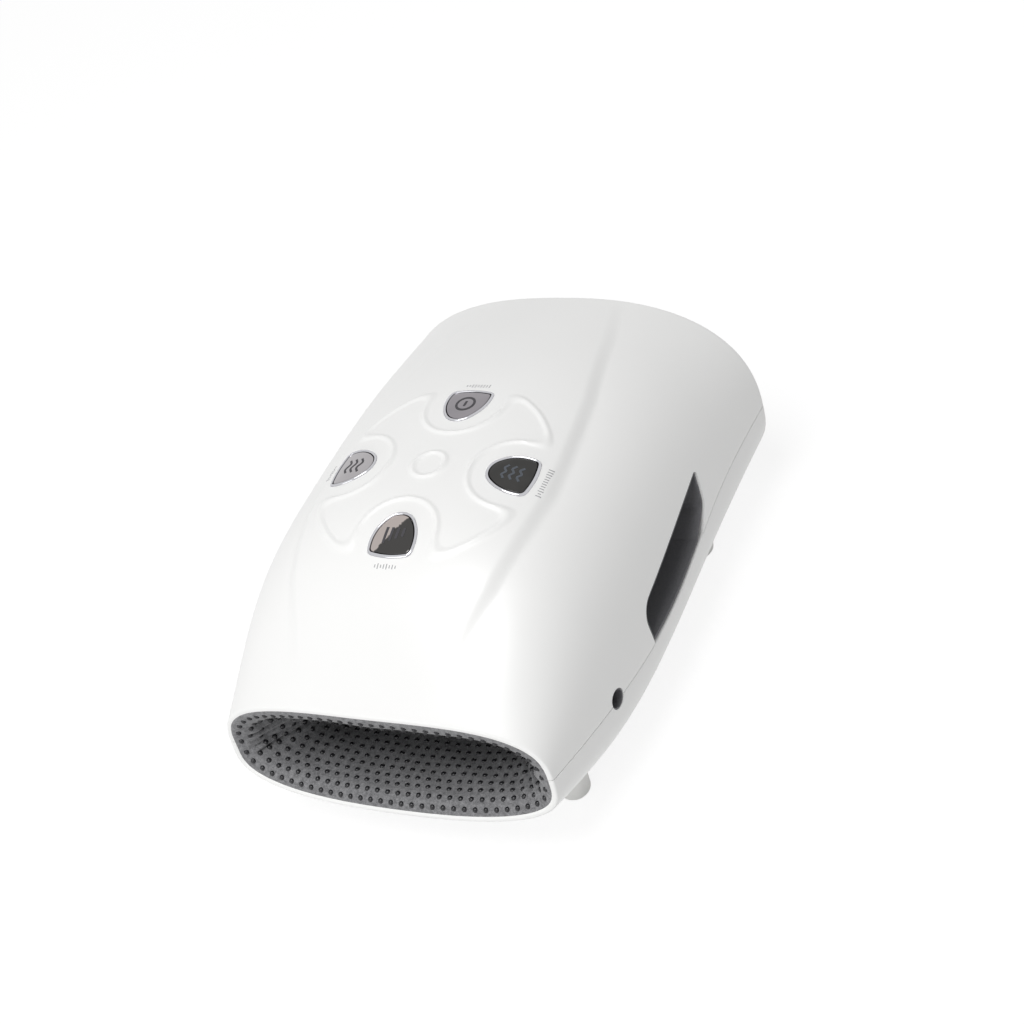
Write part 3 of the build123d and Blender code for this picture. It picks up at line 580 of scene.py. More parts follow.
def lipRows():
    # distance from the end and depth under the outer face, round from the outer to the inner face
    outer, inner, wall = shellForm["lipOuter"], shellForm["lipInner"], bodyForm["wall"]
    turns = np.linspace(0, pi / 2, shellForm["lipSteps"])
    rows = [(outer * (1 - sin(t)), outer * (1 - cos(t))) for t in turns]
    return rows + [(inner * (1 - cos(t)), wall - inner * (1 - sin(t))) for t in turns]


def shellMesh(upper):
    spots, seamDistance = columnPlaces(upper)
    outerShares, lips = rowShares(upper), lipRows()
    wall = bodyForm["wall"]
    innerLow = shellForm["lipInner"] / bodyLength
    innerShares = walk(innerLow, 1 - innerLow, lambda distance: shellForm["inner"] / bodyLength)
    rows = [(d / bodyLength, inset) for d, inset in reversed(lips)]
    rows += [(share, 0.0) for share in outerShares[1:-1]]
    rows += [(1 - d / bodyLength, inset) for d, inset in lips]
    rows += [(share, wall) for share in innerShares[-2:0:-1]]
    share, inset = np.array(rows)[:, :1], np.array(rows)[:, 1:]
    shift = shellForm["seamGap"] / 2 if upper else -shellForm["seamGap"] / 2
    start = seamAngle(bodyForm, share, inset, shift)
    sweep = pi - 2 * start if upper else -(pi + 2 * start)
    rounding = shellForm["seamRound"] * (1 - np.clip(seamDistance / shellForm["seamRound"], 0, 1)) ** 2
    depth = np.where(inset < wall / 2, inset + rounding[None, :], inset)
    points = formPoints(bodyForm, share, start + sweep * spots[None, :], depth)
    if upper:
        height = cloverHeight(points[..., 0], points[..., 1]) - creaseDepth(points[..., 0], points[..., 1])
        fromEnd = np.minimum(share, 1 - share) * bodyLength
        height = height * (inset == 0) * smoothStep(fromEnd / crease["endFade"])
        height = height * (points[..., 2] > crease["lowest"])
        normals = gridNormals(points)
        points = points + normals * np.sign(normals[..., 2:]) * height[..., None]
    count, columns = points.shape[:2]
    faces = gridFaces(count, columns, closeRows=True)
    lipCount, outerCount = len(lips), len(outerShares) - 2 + 2 * len(lips)
    for column in (0, columns - 1):
        ring = [r * columns + column for r in range(count)]
        outer = ring[lipCount - 1:outerCount - lipCount + 1]
        inner = [ring[0]] + ring[:outerCount - 1:-1] + [ring[outerCount - 1]]
        faces += zipFaces(outer, inner, outerShares, np.linspace(0, 1, len(inner)))
        faces += [tuple(ring[:lipCount]), tuple(ring[outerCount - lipCount:outerCount])]
    return points.reshape(-1, 3), faces


# Thumb slot's leaf outline and the charging port
slotForm = {
    "corners": ((-26.5, None), (-26.5, 51.0), (42.6, 59.6), (38.0, 45.0), (25.0, None)),
    "rounds": (0, 9.0, 1.6, 8.0, 0),
    "below": 3.0 * mm,
    "steps": 180,
    "lowerSteps": 16,
}
port = {"y": -58.3 * mm, "z": 38.6 * mm, "radius": 4.1 * mm, "jackHalf": 4.8 * mm, "steps": 48}
# how far out from the middle, or up, each cut starts and ends
cutReach = {"shell": 40 * mm, "lining": 46 * mm, "port": 60 * mm, "outside": 95 * mm,
            "keys": (90 * mm, 115 * mm)}


def roundedLine(corners, rounds, steps=10):
    points = [corners[0]]
    for k in range(1, len(corners) - 1):
        corner, before, after = corners[k], corners[k - 1], corners[k + 1]
        first, second = (before - corner), (after - corner)
        first, second = first / np.linalg.norm(first), second / np.linalg.norm(second)
        half = acos(float(np.clip(first @ second, -1, 1))) / 2
        centre = corner + (first + second) / np.linalg.norm(first + second) * rounds[k] / sin(half)
        start = corner + first * rounds[k] / np.tan(half) - centre
        end = corner + second * rounds[k] / np.tan(half) - centre
        turn = acos(float(np.clip(start @ end / rounds[k] ** 2, -1, 1)))
        for share in np.linspace(0, 1, steps):
            points.append(centre + (sin((1 - share) * turn) * start + sin(share * turn) * end) / sin(turn))
    return points + [corners[-1]]


def slotOutline(lift=0.0, inset=0.0):
    # leaf on the YZ plane, its lower edge lift above the parting line, then drawn in by inset
    corners = []
    for y, z in slotForm["corners"]:
        y = y * mm
        corners.append(np.array((y, seamHeight(y) + lift if z is None else z * mm)))
    upper = roundedLine(corners, [r * mm for r in slotForm["rounds"]])
    ends = slotForm["corners"][-1][0], slotForm["corners"][0][0]
    lower = [(y, seamHeight(y) + lift) for y in np.linspace(*ends, slotForm["lowerSteps"])[1:-1] * mm]
    return shrinkOutline(evenOutline(np.array(upper + lower), slotForm["steps"]), inset)


def evenOutline(points, count):
    loop = np.vstack([points, points[:1]])
    along = np.concatenate([[0], np.cumsum(np.linalg.norm(np.diff(loop, axis=0), axis=1))])
    spots = np.linspace(0, along[-1], count + 1)[:-1]
    return np.stack([np.interp(spots, along, loop[:, k]) for k in (0, 1)], axis=1)


def shrinkOutline(points, inset):
    if not inset:
        return points
    tangent = np.roll(points, -1, axis=0) - np.roll(points, 1, axis=0)
    tangent /= np.linalg.norm(tangent, axis=1, keepdims=True)
    normal = np.stack([tangent[:, 1], -tangent[:, 0]], axis=1)
    return points + normal * inset


def portOutline(radius):
    turns = np.linspace(0, 2 * pi, port["steps"], endpoint=False)
    return np.stack([port["y"] + radius * np.cos(turns), port["z"] + radius * np.sin(turns)], axis=1)


# Keys: outline with its round tip towards the clover's middle
keyForm = {
    "tipReach": 10.3 * mm,
    "tipRound": 7.6 * mm,
    "sideRound": 16.0 * mm,
    "corner": (5.3 * mm, 6.8 * mm),
    "cornerRound": 3.0 * mm,
    "baseReach": 9.0 * mm,
    "floor": 96.0 * mm,
    "stemEnd": 94.5 * mm,
    "stemRadius": 1.5 * mm,
    "flange": 1.2 * mm,
    "flangeDepth": 3.1 * mm,
    "rise": 0.3 * mm,
    "crown": 0.25 * mm,
    "faceInset": 1.75 * mm,
    "edgeInset": 1.57 * mm,
    "sideInset": 1.5 * mm,
    "edgeDrops": (0.08 * mm, 0.25 * mm),
    "faceShares": (0.06, 0.2, 0.4, 0.6, 0.8, 0.92),
    "arcSteps": (16, 20, 14, 10),
    "rim": ((-0.08, -1.6), (-0.08, 0.1), (-0.2, 0.38), (-0.42, 0.55), (-0.68, 0.6), (-0.94, 0.52),
            (-1.12, 0.3), (-1.2, 0.0), (-1.2, -1.6)),
}


def arc(centre, radius, first, last, steps):
    turns = np.linspace(first, last, steps)
    return np.stack([centre[0] + radius * np.cos(turns), centre[1] + radius * np.sin(turns)], axis=1)


def keyOutline(turn, grow=0.0):
    # four tangent arcs from the tip to the middle of the base, then their mirror image
    form = keyForm
    tip, corner = np.array([form["tipRound"] - form["tipReach"], 0]), np.array(form["corner"])
    span = np.linalg.norm(corner - tip)
    along = (corner - tip) / span
    near, far = form["sideRound"] - form["tipRound"], form["sideRound"] - form["cornerRound"]
    reach = (span ** 2 + near ** 2 - far ** 2) / (2 * span)
    side = tip + along * reach + np.array([along[1], -along[0]]) * (near ** 2 - reach ** 2) ** 0.5
    edge = form["baseReach"] - form["cornerRound"]
    base = np.array([(edge ** 2 - corner @ corner) / (2 * (edge - corner[0])), 0])
    turns = [pi] + [atan2(*(a - b)[::-1]) for a, b in ((tip, side), (corner, side), (corner, base))] + [0]
    radii = (form["tipRound"], form["sideRound"], form["cornerRound"], form["baseReach"] - base[0])
    half = []
    for k, (centre, radius, steps) in enumerate(zip((tip, side, corner, base), radii, form["arcSteps"])):
        half.append(arc(centre, radius + grow, turns[k], turns[k + 1], steps)[:-1])
    half = np.vstack(half + [[(form["baseReach"] + grow, 0)]])
    local = np.vstack([half, half[-2:0:-1] * (1, -1)])
    keyX, keyY = keyCentre(turn)
    c, s = cos(radians(turn)), sin(radians(turn))
    x, y = local[:, 0], local[:, 1]
    return np.stack([keyX + c * x - s * y, keyY + s * x + c * y], axis=1)


def raised(outline, rise):
    return np.column_stack([outline, surfaceHeight(outline[:, 0], outline[:, 1]) + rise])


def level(outline, height):
    return np.column_stack([outline, np.full(len(outline), height)])


def addKey(name, turn, face):
    # chrome rim round the key, rounded over its top: steps out from the outline and up, in mm
    rings = [raised(keyOutline(turn, grow * mm), rise * mm) for grow, rise in keyForm["rim"]]
    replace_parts(addPiece(name + "_rim", *ringMesh(rings, closed=True), chrome, "key_rim"), name + "_bezel")
    # mirror face, flange and stem in one moulding
    edge, side = keyOutline(turn, -keyForm["faceInset"]), keyOutline(turn, -keyForm["sideInset"])
    centre = np.array(keyCentre(turn))
    rings = []
    for share in keyForm["faceShares"]:
        crown = keyForm["crown"] * (1 - share ** 2)
        rings.append(raised(centre + (edge - centre) * share, keyForm["rise"] + crown))
    rings.append(raised(edge, keyForm["rise"]))
    rings.append(raised(keyOutline(turn, -keyForm["edgeInset"]), keyForm["rise"] - keyForm["edgeDrops"][0]))
    rings += [raised(side, keyForm["rise"] - keyForm["edgeDrops"][1]), raised(side, -keyForm["flangeDepth"])]
    flange = keyOutline(turn, keyForm["flange"])
    rings += [raised(flange, -keyForm["flangeDepth"]), level(flange, keyForm["floor"])]
    spokes = edge - centre
    stem = centre + spokes / np.linalg.norm(spokes, axis=1, keepdims=True) * keyForm["stemRadius"]
    rings += [level(stem, keyForm["floor"]), level(stem, keyForm["stemEnd"])]
    key = addPiece(name + "_key_face", *ringMesh(rings), face, "key_face", name + "_key_body")
    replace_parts(key, name + "_key")


# Printed marks: strokes of ink in mm from a key's centre, right and up as read from the wrist
inkForm = {"thick": 0.2, "onKey": 0.36, "onShell": 0.03, "keyReach": 9}


def stroke(line, width, origin, lift, closed=False):
    line = np.array(line, float)
    step = np.roll(line, -1, axis=0) - np.roll(line, 1, axis=0) if closed else np.gradient(line, axis=0)
    step /= np.linalg.norm(step, axis=1, keepdims=True)
    side = np.stack([-step[:, 1], step[:, 0]], axis=1) * width / 2
    rows = []
    thick = inkForm["thick"]
    for points, depth in ((line + side, 0), (line - side, 0), (line - side, thick), (line + side, thick)):
        x, y = origin[0] - points[:, 0] * mm, origin[1] - points[:, 1] * mm
        fromKey = np.hypot(points[:, 0], points[:, 1]) / inkForm["keyReach"]
        crown = keyForm["crown"] * (1 - np.minimum(fromKey, 1) ** 2) if lift > thick else 0
        rows.append(np.column_stack([x, y, surfaceHeight(x, y) + crown + (lift - depth) * mm]))
    rings = np.stack(rows, axis=1)
    return ringMesh(rings, closed)


def wave(offset, height, swing, turns, steps=30):
    up = np.linspace(-height / 2, height / 2, steps)
    return np.stack([offset + swing * np.sin(up / height * turns * 2 * pi), up], axis=1)


def zigzag(offset, height, swing, points):
    # points close beside each corner keep the stroke's width
    k = np.arange(points)
    corners = np.stack([offset + np.where(k % 2, swing, -swing), height * (k / (points - 1) - 0.5)], axis=1)
    line = [corners[:1]]
    for first, second in zip(corners[:-1], corners[1:]):
        line.append([first * (1 - s) + second * s for s in (0.12, 0.5, 0.88)])
    return np.vstack(line + [corners[-1:]])


powerRing = arc((0, 0), 3.7, 0, 2 * pi, 61)[:-1]
powerBar = [(0, -1.5), (0, 0), (0, 1.5)]
levelBars = ((-3.6, 0.6), (-1.2, 1.6), (1.2, 2.6), (3.6, 3.6))
iconLines = {
    "power": ([(powerRing, True), (powerBar, False)], 1.0, iconDark),
    "heat": ([(wave(x, 7.2, 0.75, 1.25), False) for x in (-2.9, 0, 2.9)], 0.95, iconDark),
    "level": ([([(x, -3.0), (x, 0.0), (x, top)], False) for x, top in levelBars], 1.1, iconDark),
    "vibration": ([(zigzag(x, 7.0, 0.7, 5), False) for x in (-3.0, 0, 3.0)], 0.9, iconPale),
}
for name, turn in keyTurns.items():
    addKey(name, turn, keyFaces[name])
    lines, width, ink = iconLines[name]
    parts = [stroke(line, width, keyCentre(turn), inkForm["onKey"], closed) for line, closed in lines]
    addPiece(name + "_icon", *joinMeshes(parts), ink, "key_face", name + "_key_body")
print("keys are in place")

# Rows of fine printed ticks beside the keys
tickForm = {"reach": 12.0, "pitch": 1.25, "width": 0.42, "height": 2.0,
            "sizes": (0.55, 0.8, 1.0), "counts": {"power": 9, "heat": 7, "level": 8, "vibration": 12}}
draw = np.random.default_rng(7)
for name, turn in keyTurns.items():
    parts = []
    count = tickForm["counts"][name]
    outward = np.array([cos(radians(turn)), sin(radians(turn))])
    along = np.array([-outward[1], outward[0]])
    for k in range(count):
        spot = outward * tickForm["reach"] + along * (k - (count - 1) / 2) * tickForm["pitch"]
        size = tickForm["height"] * draw.choice(tickForm["sizes"]) / 2
        ends = [-(spot + outward * size * s) for s in (-1, 0, 1)]
        parts.append(stroke(ends, tickForm["width"], keyCentre(turn), inkForm["onShell"]))
    addPiece(name + "_caption", *joinMeshes(parts), tickInk, "shell_white")

topShell = addPiece("top_shell_skin", *shellMesh(True), shellWhite, "shell_white")
leaf = slotOutline(-slotForm["below"])
cuts = [prism(leaf, "x", side * cutReach["shell"], side * cutReach["outside"]) for side in (1, -1)]
cuts += [prism(keyOutline(turn), "z", *cutReach["keys"]) for turn in keyTurns.values()]
portHole = prism(portOutline(port["radius"]), "x", cutReach["port"], cutReach["outside"])
cutAway(topShell, cuts + [portHole])
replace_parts(topShell, "top_shell")
bottomShell = addPiece("bottom_shell_skin", *shellMesh(False), shellWhite, "shell_white")
cutAway(bottomShell, [portHole])
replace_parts(bottomShell, "bottom_shell")
print("shells are in place")

# Feet, turned on a lathe profile up into the shell
footForm = {"flat": 3.8, "round": 2.4, "radius": 6.2, "topRadius": 7.6, "top": 22.0, "sunk": 1.2, "steps": 64,
            "spots": {"front_right": (52.6, -73.0), "front_left": (-52.6, -73.0), "rear_right": (58.8, 55.1),
                      "rear_left": (-58.8, 55.1)}}


def addFoot(name, x, y):
    form = footForm
    turns = np.linspace(0, 2 * pi, form["steps"], endpoint=False)
    across, along = np.cos(turns), np.sin(turns)
    profile = [(form["flat"] / 2, 0)]
    for turn in np.linspace(0, pi / 2, 9):
        profile.append((form["flat"] + form["round"] * sin(turn), form["round"] * (1 - cos(turn))))
    rings = [level(np.column_stack([x + r * across, y + r * along]) * mm, z * mm) for r, z in profile]
    # the post widens upwards to a taper and ends a little inside the shell
    for share in np.linspace(0, 1, 7)[1:]:
        radius = form["radius"]
        for _ in range(4):
            spots = np.column_stack([x + radius * across, y + radius * along]) * mm
            top = surfaceHeight(spots[:, 0], spots[:, 1], upper=False) + form["sunk"] * mm
            height = form["round"] * mm * (1 - share) + top * share
            taper = (height / mm - form["round"]) / (form["top"] - form["round"])
            radius = form["radius"] + (form["topRadius"] - form["radius"]) * taper
        rings.append(np.column_stack([(x + radius * across) * mm, (y + radius * along) * mm, height]))
    foot = addPiece(name + "_foot_pad", *ringMesh(rings), footWhite, "shell_white")
    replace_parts(foot, name + "_foot")


for name, spot in footForm["spots"].items():
    addFoot(name, *spot)
print("feet are in place")

# Lining: tricot over the hand cavity, rolled over a ring at each mouth
lining = {
    "thick": 1.6 * mm,
    "start": 6.4 * mm,
    "funnel": 0.19,
    "funnelIn": 26 * mm,
    "funnelOut": 36 * mm,
    "around": 400,
    "along": 130,
}
gatherForm = {"height": 2.6 * mm, "inward": 34 * mm, "count": 13, "reach": 0.75, "sway": 1.4, "swayTurns": 5,
              "slant": 45, "uneven": 0.35, "unevenTurns": 11, "unevenSlant": 60, "ripple": 0.35 * mm,
              "rippleTurns": (9, 4), "rippleSlants": (130, 210)}
rollForm = {"depth": 0.4 * mm, "proud": 0.3 * mm, "gap": 0.1 * mm, "over": 0.6 * mm, "behind": 0.8 * mm,
            "sag": 1.5 * mm, "sagTurns": 1.25, "tuck": 0.6 * mm, "tuckTurn": 0.2, "lipShown": 1.9 * mm,
            "topShown": 0.8 * mm, "coverStart": -0.1, "coverSpan": 0.6, "steps": 22, "crowding": 1.4}
draw = np.random.default_rng(11)
gatherPhase = draw.uniform(0, 2 * pi, 4)


def puckerAt(angle, fromEnd):
    # gathers round both narrow sides of a mouth: rounded folds with sharp valleys, fading inwards
    total = 0
    for side, phase, sway in ((0, gatherPhase[0], gatherPhase[1]), (pi, gatherPhase[2], gatherPhase[3])):
        off = (angle - side + pi) % (2 * pi) - pi
        swayed = gatherForm["sway"] * np.sin(off * gatherForm["swayTurns"] + sway)
        folds = np.abs(np.sin(off * gatherForm["count"] + swayed + gatherForm["slant"] * fromEnd + phase))
        change = np.sin(off * gatherForm["unevenTurns"] + phase * 3 - fromEnd * gatherForm["unevenSlant"])
        uneven = 1 - gatherForm["uneven"] * (1 - change)
        total = total + folds * uneven * np.exp(-(off / gatherForm["reach"]) ** 2)
    reach = smoothStep(fromEnd / lining["start"]) * np.exp(-(fromEnd / gatherForm["inward"]) ** 2)
    ripple = gatherForm["ripple"]
    for turns, slant in zip(gatherForm["rippleTurns"], gatherForm["rippleSlants"]):
        ripple = ripple * np.sin(angle * turns + fromEnd * slant)
    return total * gatherForm["height"] * reach + ripple


def liningPoints(share, angle, depth=0.0):
    # the cavity's form with its puckers, drawn in to a funnel behind the finger mouth
    fromEnd = np.minimum(share, 1 - share) * bodyLength
    points = formPoints(cavityForm, share, angle, depth + puckerAt(angle, fromEnd))
    near, far = (fromEnd - lining["start"] / 2) / lining["funnelIn"], fromEnd / lining["funnelOut"] - 1
    drawn = smoothStep(near) * (1 - smoothStep(far)) * (np.asarray(share) < 0.5)
    points[..., 0] *= 1 - lining["funnel"] * drawn
    return points


def shareFrom(depth, atFront):
    return depth / bodyLength if atFront else 1 - depth / bodyLength


def rollPoints(turn, angle, atFront):
    # quarter-round from the shell's lip to the cavity; at the top it covers the lip and hangs a little
    cover = smoothStep((np.sin(angle) - rollForm["coverStart"]) / rollForm["coverSpan"])
    tuck = 1 - smoothStep(turn / rollForm["tuckTurn"])
    face = rollForm["depth"] * (1 - cover) - rollForm["proud"] * cover
    depth = face + rollForm["tuck"] * cover * tuck + (lining["start"] - face) * (1 - np.cos(turn))
    share = shareFrom(depth, atFront)
    shown = rollForm["lipShown"] - (rollForm["lipShown"] - rollForm["topShown"]) * cover
    outer = formPoints(bodyForm, share, angle, shown)
    hang = np.sin(np.minimum(turn * rollForm["sagTurns"], pi)) ** 2
    inner = liningPoints(share, angle, rollForm["sag"] * np.maximum(np.sin(angle), 0) ** 2 * hang)
    weight = np.sin(turn)[..., None]
    return outer * (1 - weight) + inner * weight


def halfAngles(upper, share, count, form):
    start = seamAngle(form, share)
    spots = np.linspace(0, 1, count)[None, :]
    return start + (pi - 2 * start) * spots if upper else start - (pi + 2 * start) * spots


def halfTube(upper, inner, outer, shares, count):
    # closed half tube between an inner and an outer face, over the given shares
    share = np.array(shares)[:, None]
    innerPoints = inner(share, halfAngles(upper, share, count, cavityForm))
    outerPoints = outer(share, halfAngles(upper, share, count, bodyForm))
    points = np.concatenate([innerPoints, outerPoints[::-1]])
    rows = len(points)
    faces = gridFaces(rows, count, closeRows=True)
    for column in (0, count - 1):
        ring = [r * count + column for r in range(rows)]
        for k in range(rows // 2 - 1):
            faces.append((ring[k], ring[k + 1], ring[rows - 2 - k], ring[rows - 1 - k]))
    return points.reshape(-1, 3), faces


slotCuts = [prism(leaf, "x", side * cutReach["lining"], side * cutReach["outside"]) for side in (1, -1)]
shares = np.linspace(lining["start"] / bodyLength, 1 - lining["start"] / bodyLength, lining["along"])
for half, upper in (("upper", True), ("lower", False)):
    back = lambda share, angle: formPoints(cavityForm, share, angle, -lining["thick"])
    mesh = halfTube(upper, liningPoints, back, shares, lining["around"] // 2)
    cloth = addPiece(half + "_lining", *mesh, fabric, "fabric_grey", sharp=80)
    if upper:
        cutAway(cloth, slotCuts)
    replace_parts(cloth, half + "_liner")


def addRoll(name, atFront, node):
    angle = np.linspace(0, 2 * pi, lining["around"], endpoint=False)
    turns = pi / 2 * np.linspace(0, 1, rollForm["steps"]) ** rollForm["crowding"]
    rings = [rollPoints(np.array(turn), angle, atFront) for turn in turns]
    share = shareFrom(lining["start"] + rollForm["over"], atFront)
    rings.append(formPoints(cavityForm, share, angle, -rollForm["behind"]))
    rings.append(formPoints(bodyForm, share, angle, bodyForm["wall"] + rollForm["gap"]))
    cloth = addPiece(name, *ringMesh(rings, closed=True), fabric, "fabric_grey", sharp=60)
    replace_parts(cloth, node)


addRoll("finger_mouth_roll", True, "finger_mouth_ring")
addRoll("wrist_mouth_roll", False, "wrist_mouth_ring")
print("lining is in place")

# Silicone dots in staggered rows, from the rolls in over the lining
dotForm = {"radius": 1.1 * mm, "height": 0.85 * mm, "pitch": 4.5 * mm, "sink": 0.15 * mm, "sides": 12,
           "endRoom": 4 * mm, "firstRow": 1.8 * mm, "lastRow": 3 * mm, "slotRoom": 3 * mm,
           "slotSide": 45 * mm, "slotTopSlope": 0.125, "rollRows": ((1, 1.2), (0, 0.55)), "rollEnd": 0.02,
           "profile": ((-0.35, 1.0), (0.0, 1.0), (0.45, 0.9), (0.8, 0.6), (1.0, 0.2)), "samples": 1500,
           "rowShare": 0.866,
           "ahead": {"lining": 0.004, "roll": 0.1, "round": 0.01}, "middle": (1.3, 42 * mm)}
rowStep = dotForm["pitch"] * dotForm["rowShare"]


def dotMesh(centre, normal, along):
    across = np.cross(normal, along)
    turns = np.linspace(0, 2 * pi, dotForm["sides"], endpoint=False)
    rings = []
    for rise, spread in dotForm["profile"]:
        middle = centre + normal * rise * dotForm["height"]
        radius = dotForm["radius"] * spread
        rings.append([middle + radius * (cos(t) * along + sin(t) * across) for t in turns])
    return ringMesh(rings)


def insideSlot(y, z):
    # within a margin of the slot's ends and its sloping top edge
    start, top = (v * mm for v in slotForm["corners"][1])
    end, margin = slotForm["corners"][2][0] * mm, dotForm["slotRoom"]
    return start - margin < y < end + margin and z < top + (y - start) * dotForm["slotTopSlope"] + margin


def dotRow(pointAt, row, firstAngle, lastAngle, skipSlot=False):
    # one row of dots along a line of constant depth, between two angles
    angles = np.linspace(firstAngle, lastAngle, dotForm["samples"])
    line = pointAt(0.0, angles)
    along = np.concatenate([[0], np.cumsum(np.linalg.norm(np.diff(line, axis=0), axis=1))])
    count = int((along[-1] - dotForm["endRoom"]) / dotForm["pitch"])
    first = (along[-1] - count * dotForm["pitch"]) / 2 + (dotForm["pitch"] / 2 if row % 2 else 0)
    dots = []
    for k in range(count + (row % 2 == 0)):
        angle = np.interp(first + k * dotForm["pitch"], along, angles)
        spot = pointAt(0.0, angle)
        if skipSlot and abs(spot[0]) > dotForm["slotSide"] and insideSlot(spot[1], spot[2]):
            continue
        normal = np.cross(pointAt(0.0, angle + dotForm["ahead"]["round"]) - spot, pointAt(1.0, angle) - spot)
        normal /= np.linalg.norm(normal)
        # dots point to the cavity's middle line, and those near a mouth a little outwards
        outward, height = dotForm["middle"]
        if normal @ (np.array([0, spot[1] * outward, height]) - spot) < 0:
            normal = -normal
        onward = pointAt(1.0, angle) - spot
        onward = onward - normal * (onward @ normal)
        dots.append(dotMesh(spot - normal * dotForm["sink"], normal, onward / np.linalg.norm(onward)))
    return dots


for half, upper in (("upper", True), ("lower", False)):
    dots = []
    for row in range(int((bodyLength - 2 * lining["start"] - dotForm["lastRow"]) / rowStep)):
        share = (lining["start"] + dotForm["firstRow"] + row * rowStep) / bodyLength
        ends = halfAngles(upper, np.array([[share]]), 2, cavityForm)[0]
        liningAt = lambda ahead, angle: liningPoints(share + ahead * dotForm["ahead"]["lining"], angle)
        dots += dotRow(liningAt, row, *ends, upper)
    for atFront in (True, False):
        for row, turn in dotForm["rollRows"]:
            turnOf = lambda ahead: np.array(turn + ahead * dotForm["ahead"]["roll"])
            turnAt = lambda ahead, angle: rollPoints(turnOf(ahead), angle, atFront)
            end = dotForm["rollEnd"]
            dots += dotRow(turnAt, row, *((end, pi - end) if upper else (-end, -pi + end)))
    addPiece(half + "_lining_dots", *joinMeshes(dots), silicone, "fabric_grey", sharp=70)
print("dots are in place")

# Airbag over the hand and foam under it, between the cradle and the lining
padForm = {"cradleWall": 2.5 * mm, "lining": 1.9 * mm, "heater": 3.2 * mm, "bagEnds": (24 * mm, 16 * mm),
           "foamEnds": (20 * mm, 42 * mm), "crown": 1.2 * mm, "rows": 90}
squareCorners = ((-1, -1), (1, -1), (1, 1), (-1, 1))
jackBox = [(port["y"] + a * port["jackHalf"], port["z"] + b * port["jackHalf"]) for a, b in squareCorners]
jackRoom = [prism(jackBox, "x", cutReach["port"], cutReach["outside"])]


def addPad(name, upper, ends, underLining, slot, node, cuts):
    low, high = ends[0] / bodyLength, 1 - ends[1] / bodyLength
    shares = np.linspace(low, high, padForm["rows"])
    rounding = padForm["crown"] * np.linspace(-1, 1, padForm["rows"])[:, None] ** 8
    inner = lambda share, angle: formPoints(cavityForm, share, angle, -underLining - rounding)
    outer = lambda share, angle: formPoints(cradleForm, share, angle, padForm["cradleWall"] + rounding)
    pad = addPiece(name, *halfTube(upper, inner, outer, shares, padForm["rows"]), innerMaterials[slot], slot)
    cutAway(pad, cuts)
    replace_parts(pad, node)


bagCuts = slotCuts + jackRoom
addPad("palm_airbag", True, padForm["bagEnds"], padForm["lining"], "bag_grey", "upper_airbag", bagCuts)
addPad("palm_foam", False, padForm["foamEnds"], padForm["heater"], "foam_white", "foam_pad", jackRoom)

# Dark grommet round the charging port
grommet = {"wall": 0.5 * mm, "gap": 0.05 * mm, "depth": 3.8 * mm, "recess": 0.35 * mm}
rings = []
for inset, end in ((0.0, "recess"), (1.0, "recess"), (1.0, "depth"), (0.0, "depth")):
    outline = portOutline(port["radius"] - grommet["gap"] - inset * grommet["wall"])
    reach = surfaceReach(bodyForm, outline[:, 0], outline[:, 1], grommet[end])
    rings.append(np.column_stack([reach, outline]))
addPiece("port_grommet", *ringMesh(rings, closed=True), darkLining, "sleeve_dark")

# Thumb sleeves, from the shell's face in to the lining
sleeveForm = {"gap": 0.3 * mm, "thick": 1.2 * mm, "lip": 0.8 * mm, "lipRound": 0.5 * mm, "behind": 0.2 * mm,
              "innerEnd": 46.3 * mm}


def addSleeve(name, side):
    form = sleeveForm
    outer = slotOutline(form["gap"], form["gap"])
    inner = slotOutline(form["gap"], form["gap"] + form["thick"])
    rings = []
    for share, back in ((0.0, 0.0), (0.25, -0.15), (0.75, -0.15), (1.0, 0.35)):
        outline = outer * (1 - share) + inner * share
        reach = surfaceReach(bodyForm, outline[:, 0], outline[:, 1], form["lip"]) + back * form["lipRound"]
        rings.append(np.column_stack([side * reach, outline]))
    for outline in (inner, outer):
        reach = surfaceReach(cavityForm, outline[:, 0], outline[:, 1]) + form["behind"]
        reach = np.maximum(reach, form["innerEnd"])
        rings.append(np.column_stack([side * reach, outline]))
    sleeve = addPiece(name + "_thumb_lining", *ringMesh(rings, closed=True), darkLining, "sleeve_dark")
    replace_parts(sleeve, name + "_thumb_sleeve")


addSleeve("right", 1)
addSleeve("left", -1)
print("pads and sleeves are in place")

# Camera at the photograph's viewing angle
view = {"aim": (7.05, 15.47, 57.6), "distance": 846.9, "azimuth": 38.12, "elevation": 38.87, "roll": -23.12,
        "lens": 75.1}
azimuth, elevation, roll = (radians(view[k]) for k in ("azimuth", "elevation", "roll"))
back = np.array([sin(azimuth) * cos(elevation), -cos(azimuth) * cos(elevation), sin(elevation)])


def standFacing(piece, spot, back, upright, roll=0.0):
    # at a spot, looking against back, with its right side square to upright before the roll
    bpy.context.scene.collection.objects.link(piece)
    back = back / np.linalg.norm(back)
    right = np.cross(upright, back)
    right /= np.linalg.norm(right)
    upward = np.cross(back, right)
    turned = [right * cos(roll) + upward * sin(roll), -right * sin(roll) + upward * cos(roll), back]
    place = Matrix(np.array(turned).T.tolist()).to_4x4()
    place.translation = spot
    piece.matrix_world = place


camera = bpy.data.objects.new("camera", bpy.data.cameras.new("camera"))
camera.data.lens = view["lens"]
camera.data.sensor_width = 36
camera.data.clip_start = 0.01
spot = (np.array(view["aim"]) + back * view["distance"]) * mm
standFacing(camera, spot, back, [0, 0, 1], roll)
bpy.context.scene.camera = camera

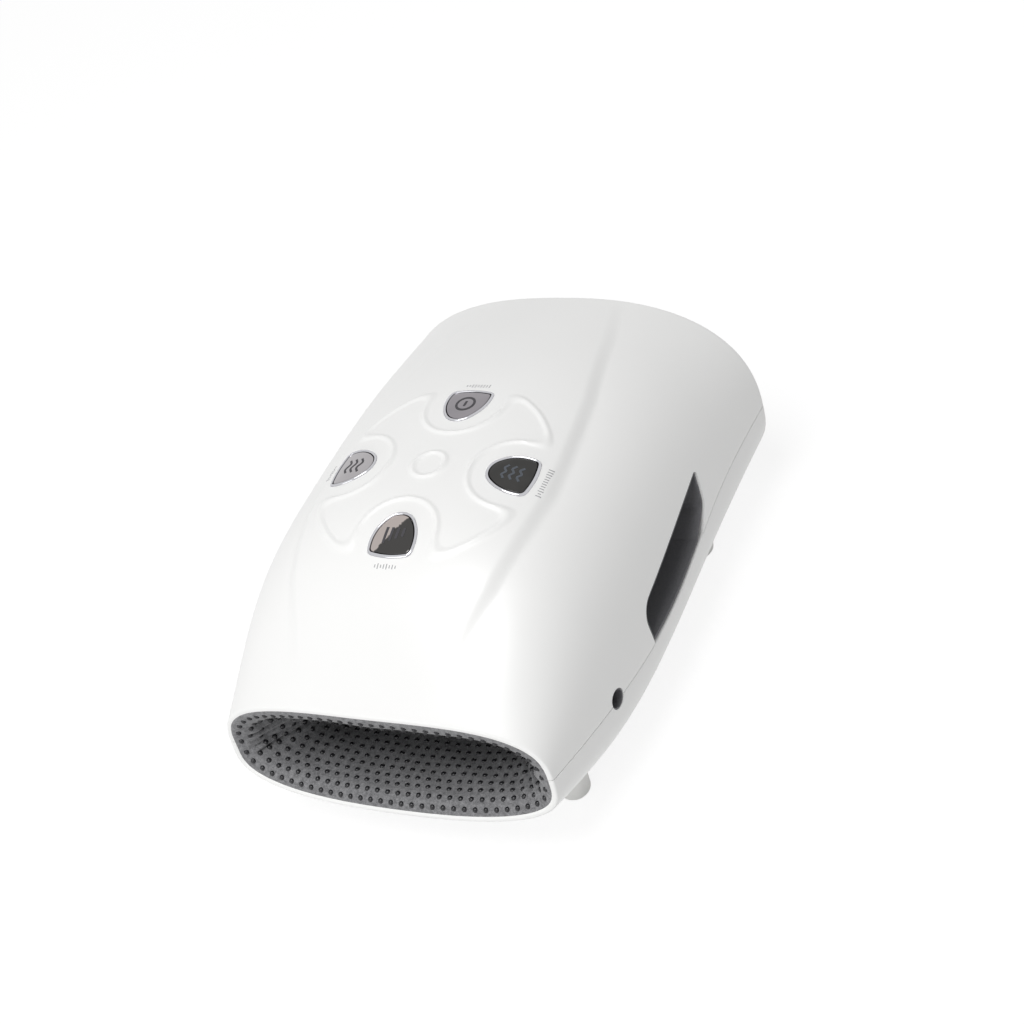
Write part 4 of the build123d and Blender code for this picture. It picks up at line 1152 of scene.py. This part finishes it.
# White floor that keeps the shadow, and a white surround for the camera and for reflections
studio = {"floor": "#F4F4F4", "floorSize": 6.0, "middle": (0, 0, 0.05),
          "shadow": 0.25, "white": 1.12, "fill": 0.38,
          "lamps": {"keyLamp": (13.2, 0.9, (0.0, -0.5, 1.41)), "frontLamp": (4.0, 0.9, (-0.4, -1.4, 0.3))}}


def whiteForCamera(tree, shown, lit):
    rays = addNode(tree, "LightPath").outputs
    seen = addNode(tree, "Math", {0: rays["Is Camera Ray"], 1: rays["Is Glossy Ray"]}, operation="MAXIMUM")
    seen = addNode(tree, "Math", {0: seen.outputs[0], 1: rays["Is Transmission Ray"]}, operation="MAXIMUM")
    mixed = addNode(tree, "MixShader", {"Fac": seen.outputs[0], 1: lit, 2: shown})
    return mixed.outputs["Shader"]


def paintedBackdrop():
    # matt white studio paint: pure white to the eye, with the object's soft shadow left on it
    material = bpy.data.materials.new("paintedBackdrop")
    material.use_nodes = True
    tree = material.node_tree
    tree.nodes.clear()
    paint = addNode(tree, "BsdfDiffuse", {"Color": linearColor(studio["floor"])})
    white = addNode(tree, "Emission", {"Color": (1, 1, 1, 1), "Strength": studio["white"]})
    kept = addNode(tree, "MixShader", {"Fac": studio["shadow"], 1: white.outputs[0], 2: paint.outputs[0]})
    shader = whiteForCamera(tree, kept.outputs["Shader"], paint.outputs[0])
    addNode(tree, "OutputMaterial", {"Surface": shader})
    return material


corners = [(x * studio["floorSize"] / 2, y * studio["floorSize"] / 2, 0) for x, y in squareCorners]
floor = addPiece("floor", corners, [(0, 1, 2, 3)], paintedBackdrop())
world = bpy.data.worlds.new("studio")
world.use_nodes = True
tree = world.node_tree
tree.nodes.clear()
fill = addNode(tree, "Background", {"Color": (1, 1, 1, 1), "Strength": studio["fill"]})
white = addNode(tree, "Background", {"Color": (1, 1, 1, 1), "Strength": 1.0})
addNode(tree, "OutputWorld", {"Surface": whiteForCamera(tree, white.outputs[0], fill.outputs[0])})
bpy.context.scene.world = world


def addLamp(name, power, size, spot):
    lamp = bpy.data.objects.new(name, bpy.data.lights.new(name, "AREA"))
    lamp.data.energy = power
    lamp.data.shape = "DISK"
    lamp.data.size = size
    standFacing(lamp, spot, np.array(spot) - studio["middle"], [0, 1, 0])


for name, values in studio["lamps"].items():
    addLamp(name, *values)
bpy.context.scene.view_settings.view_transform = "Standard"
print("camera and light are set")
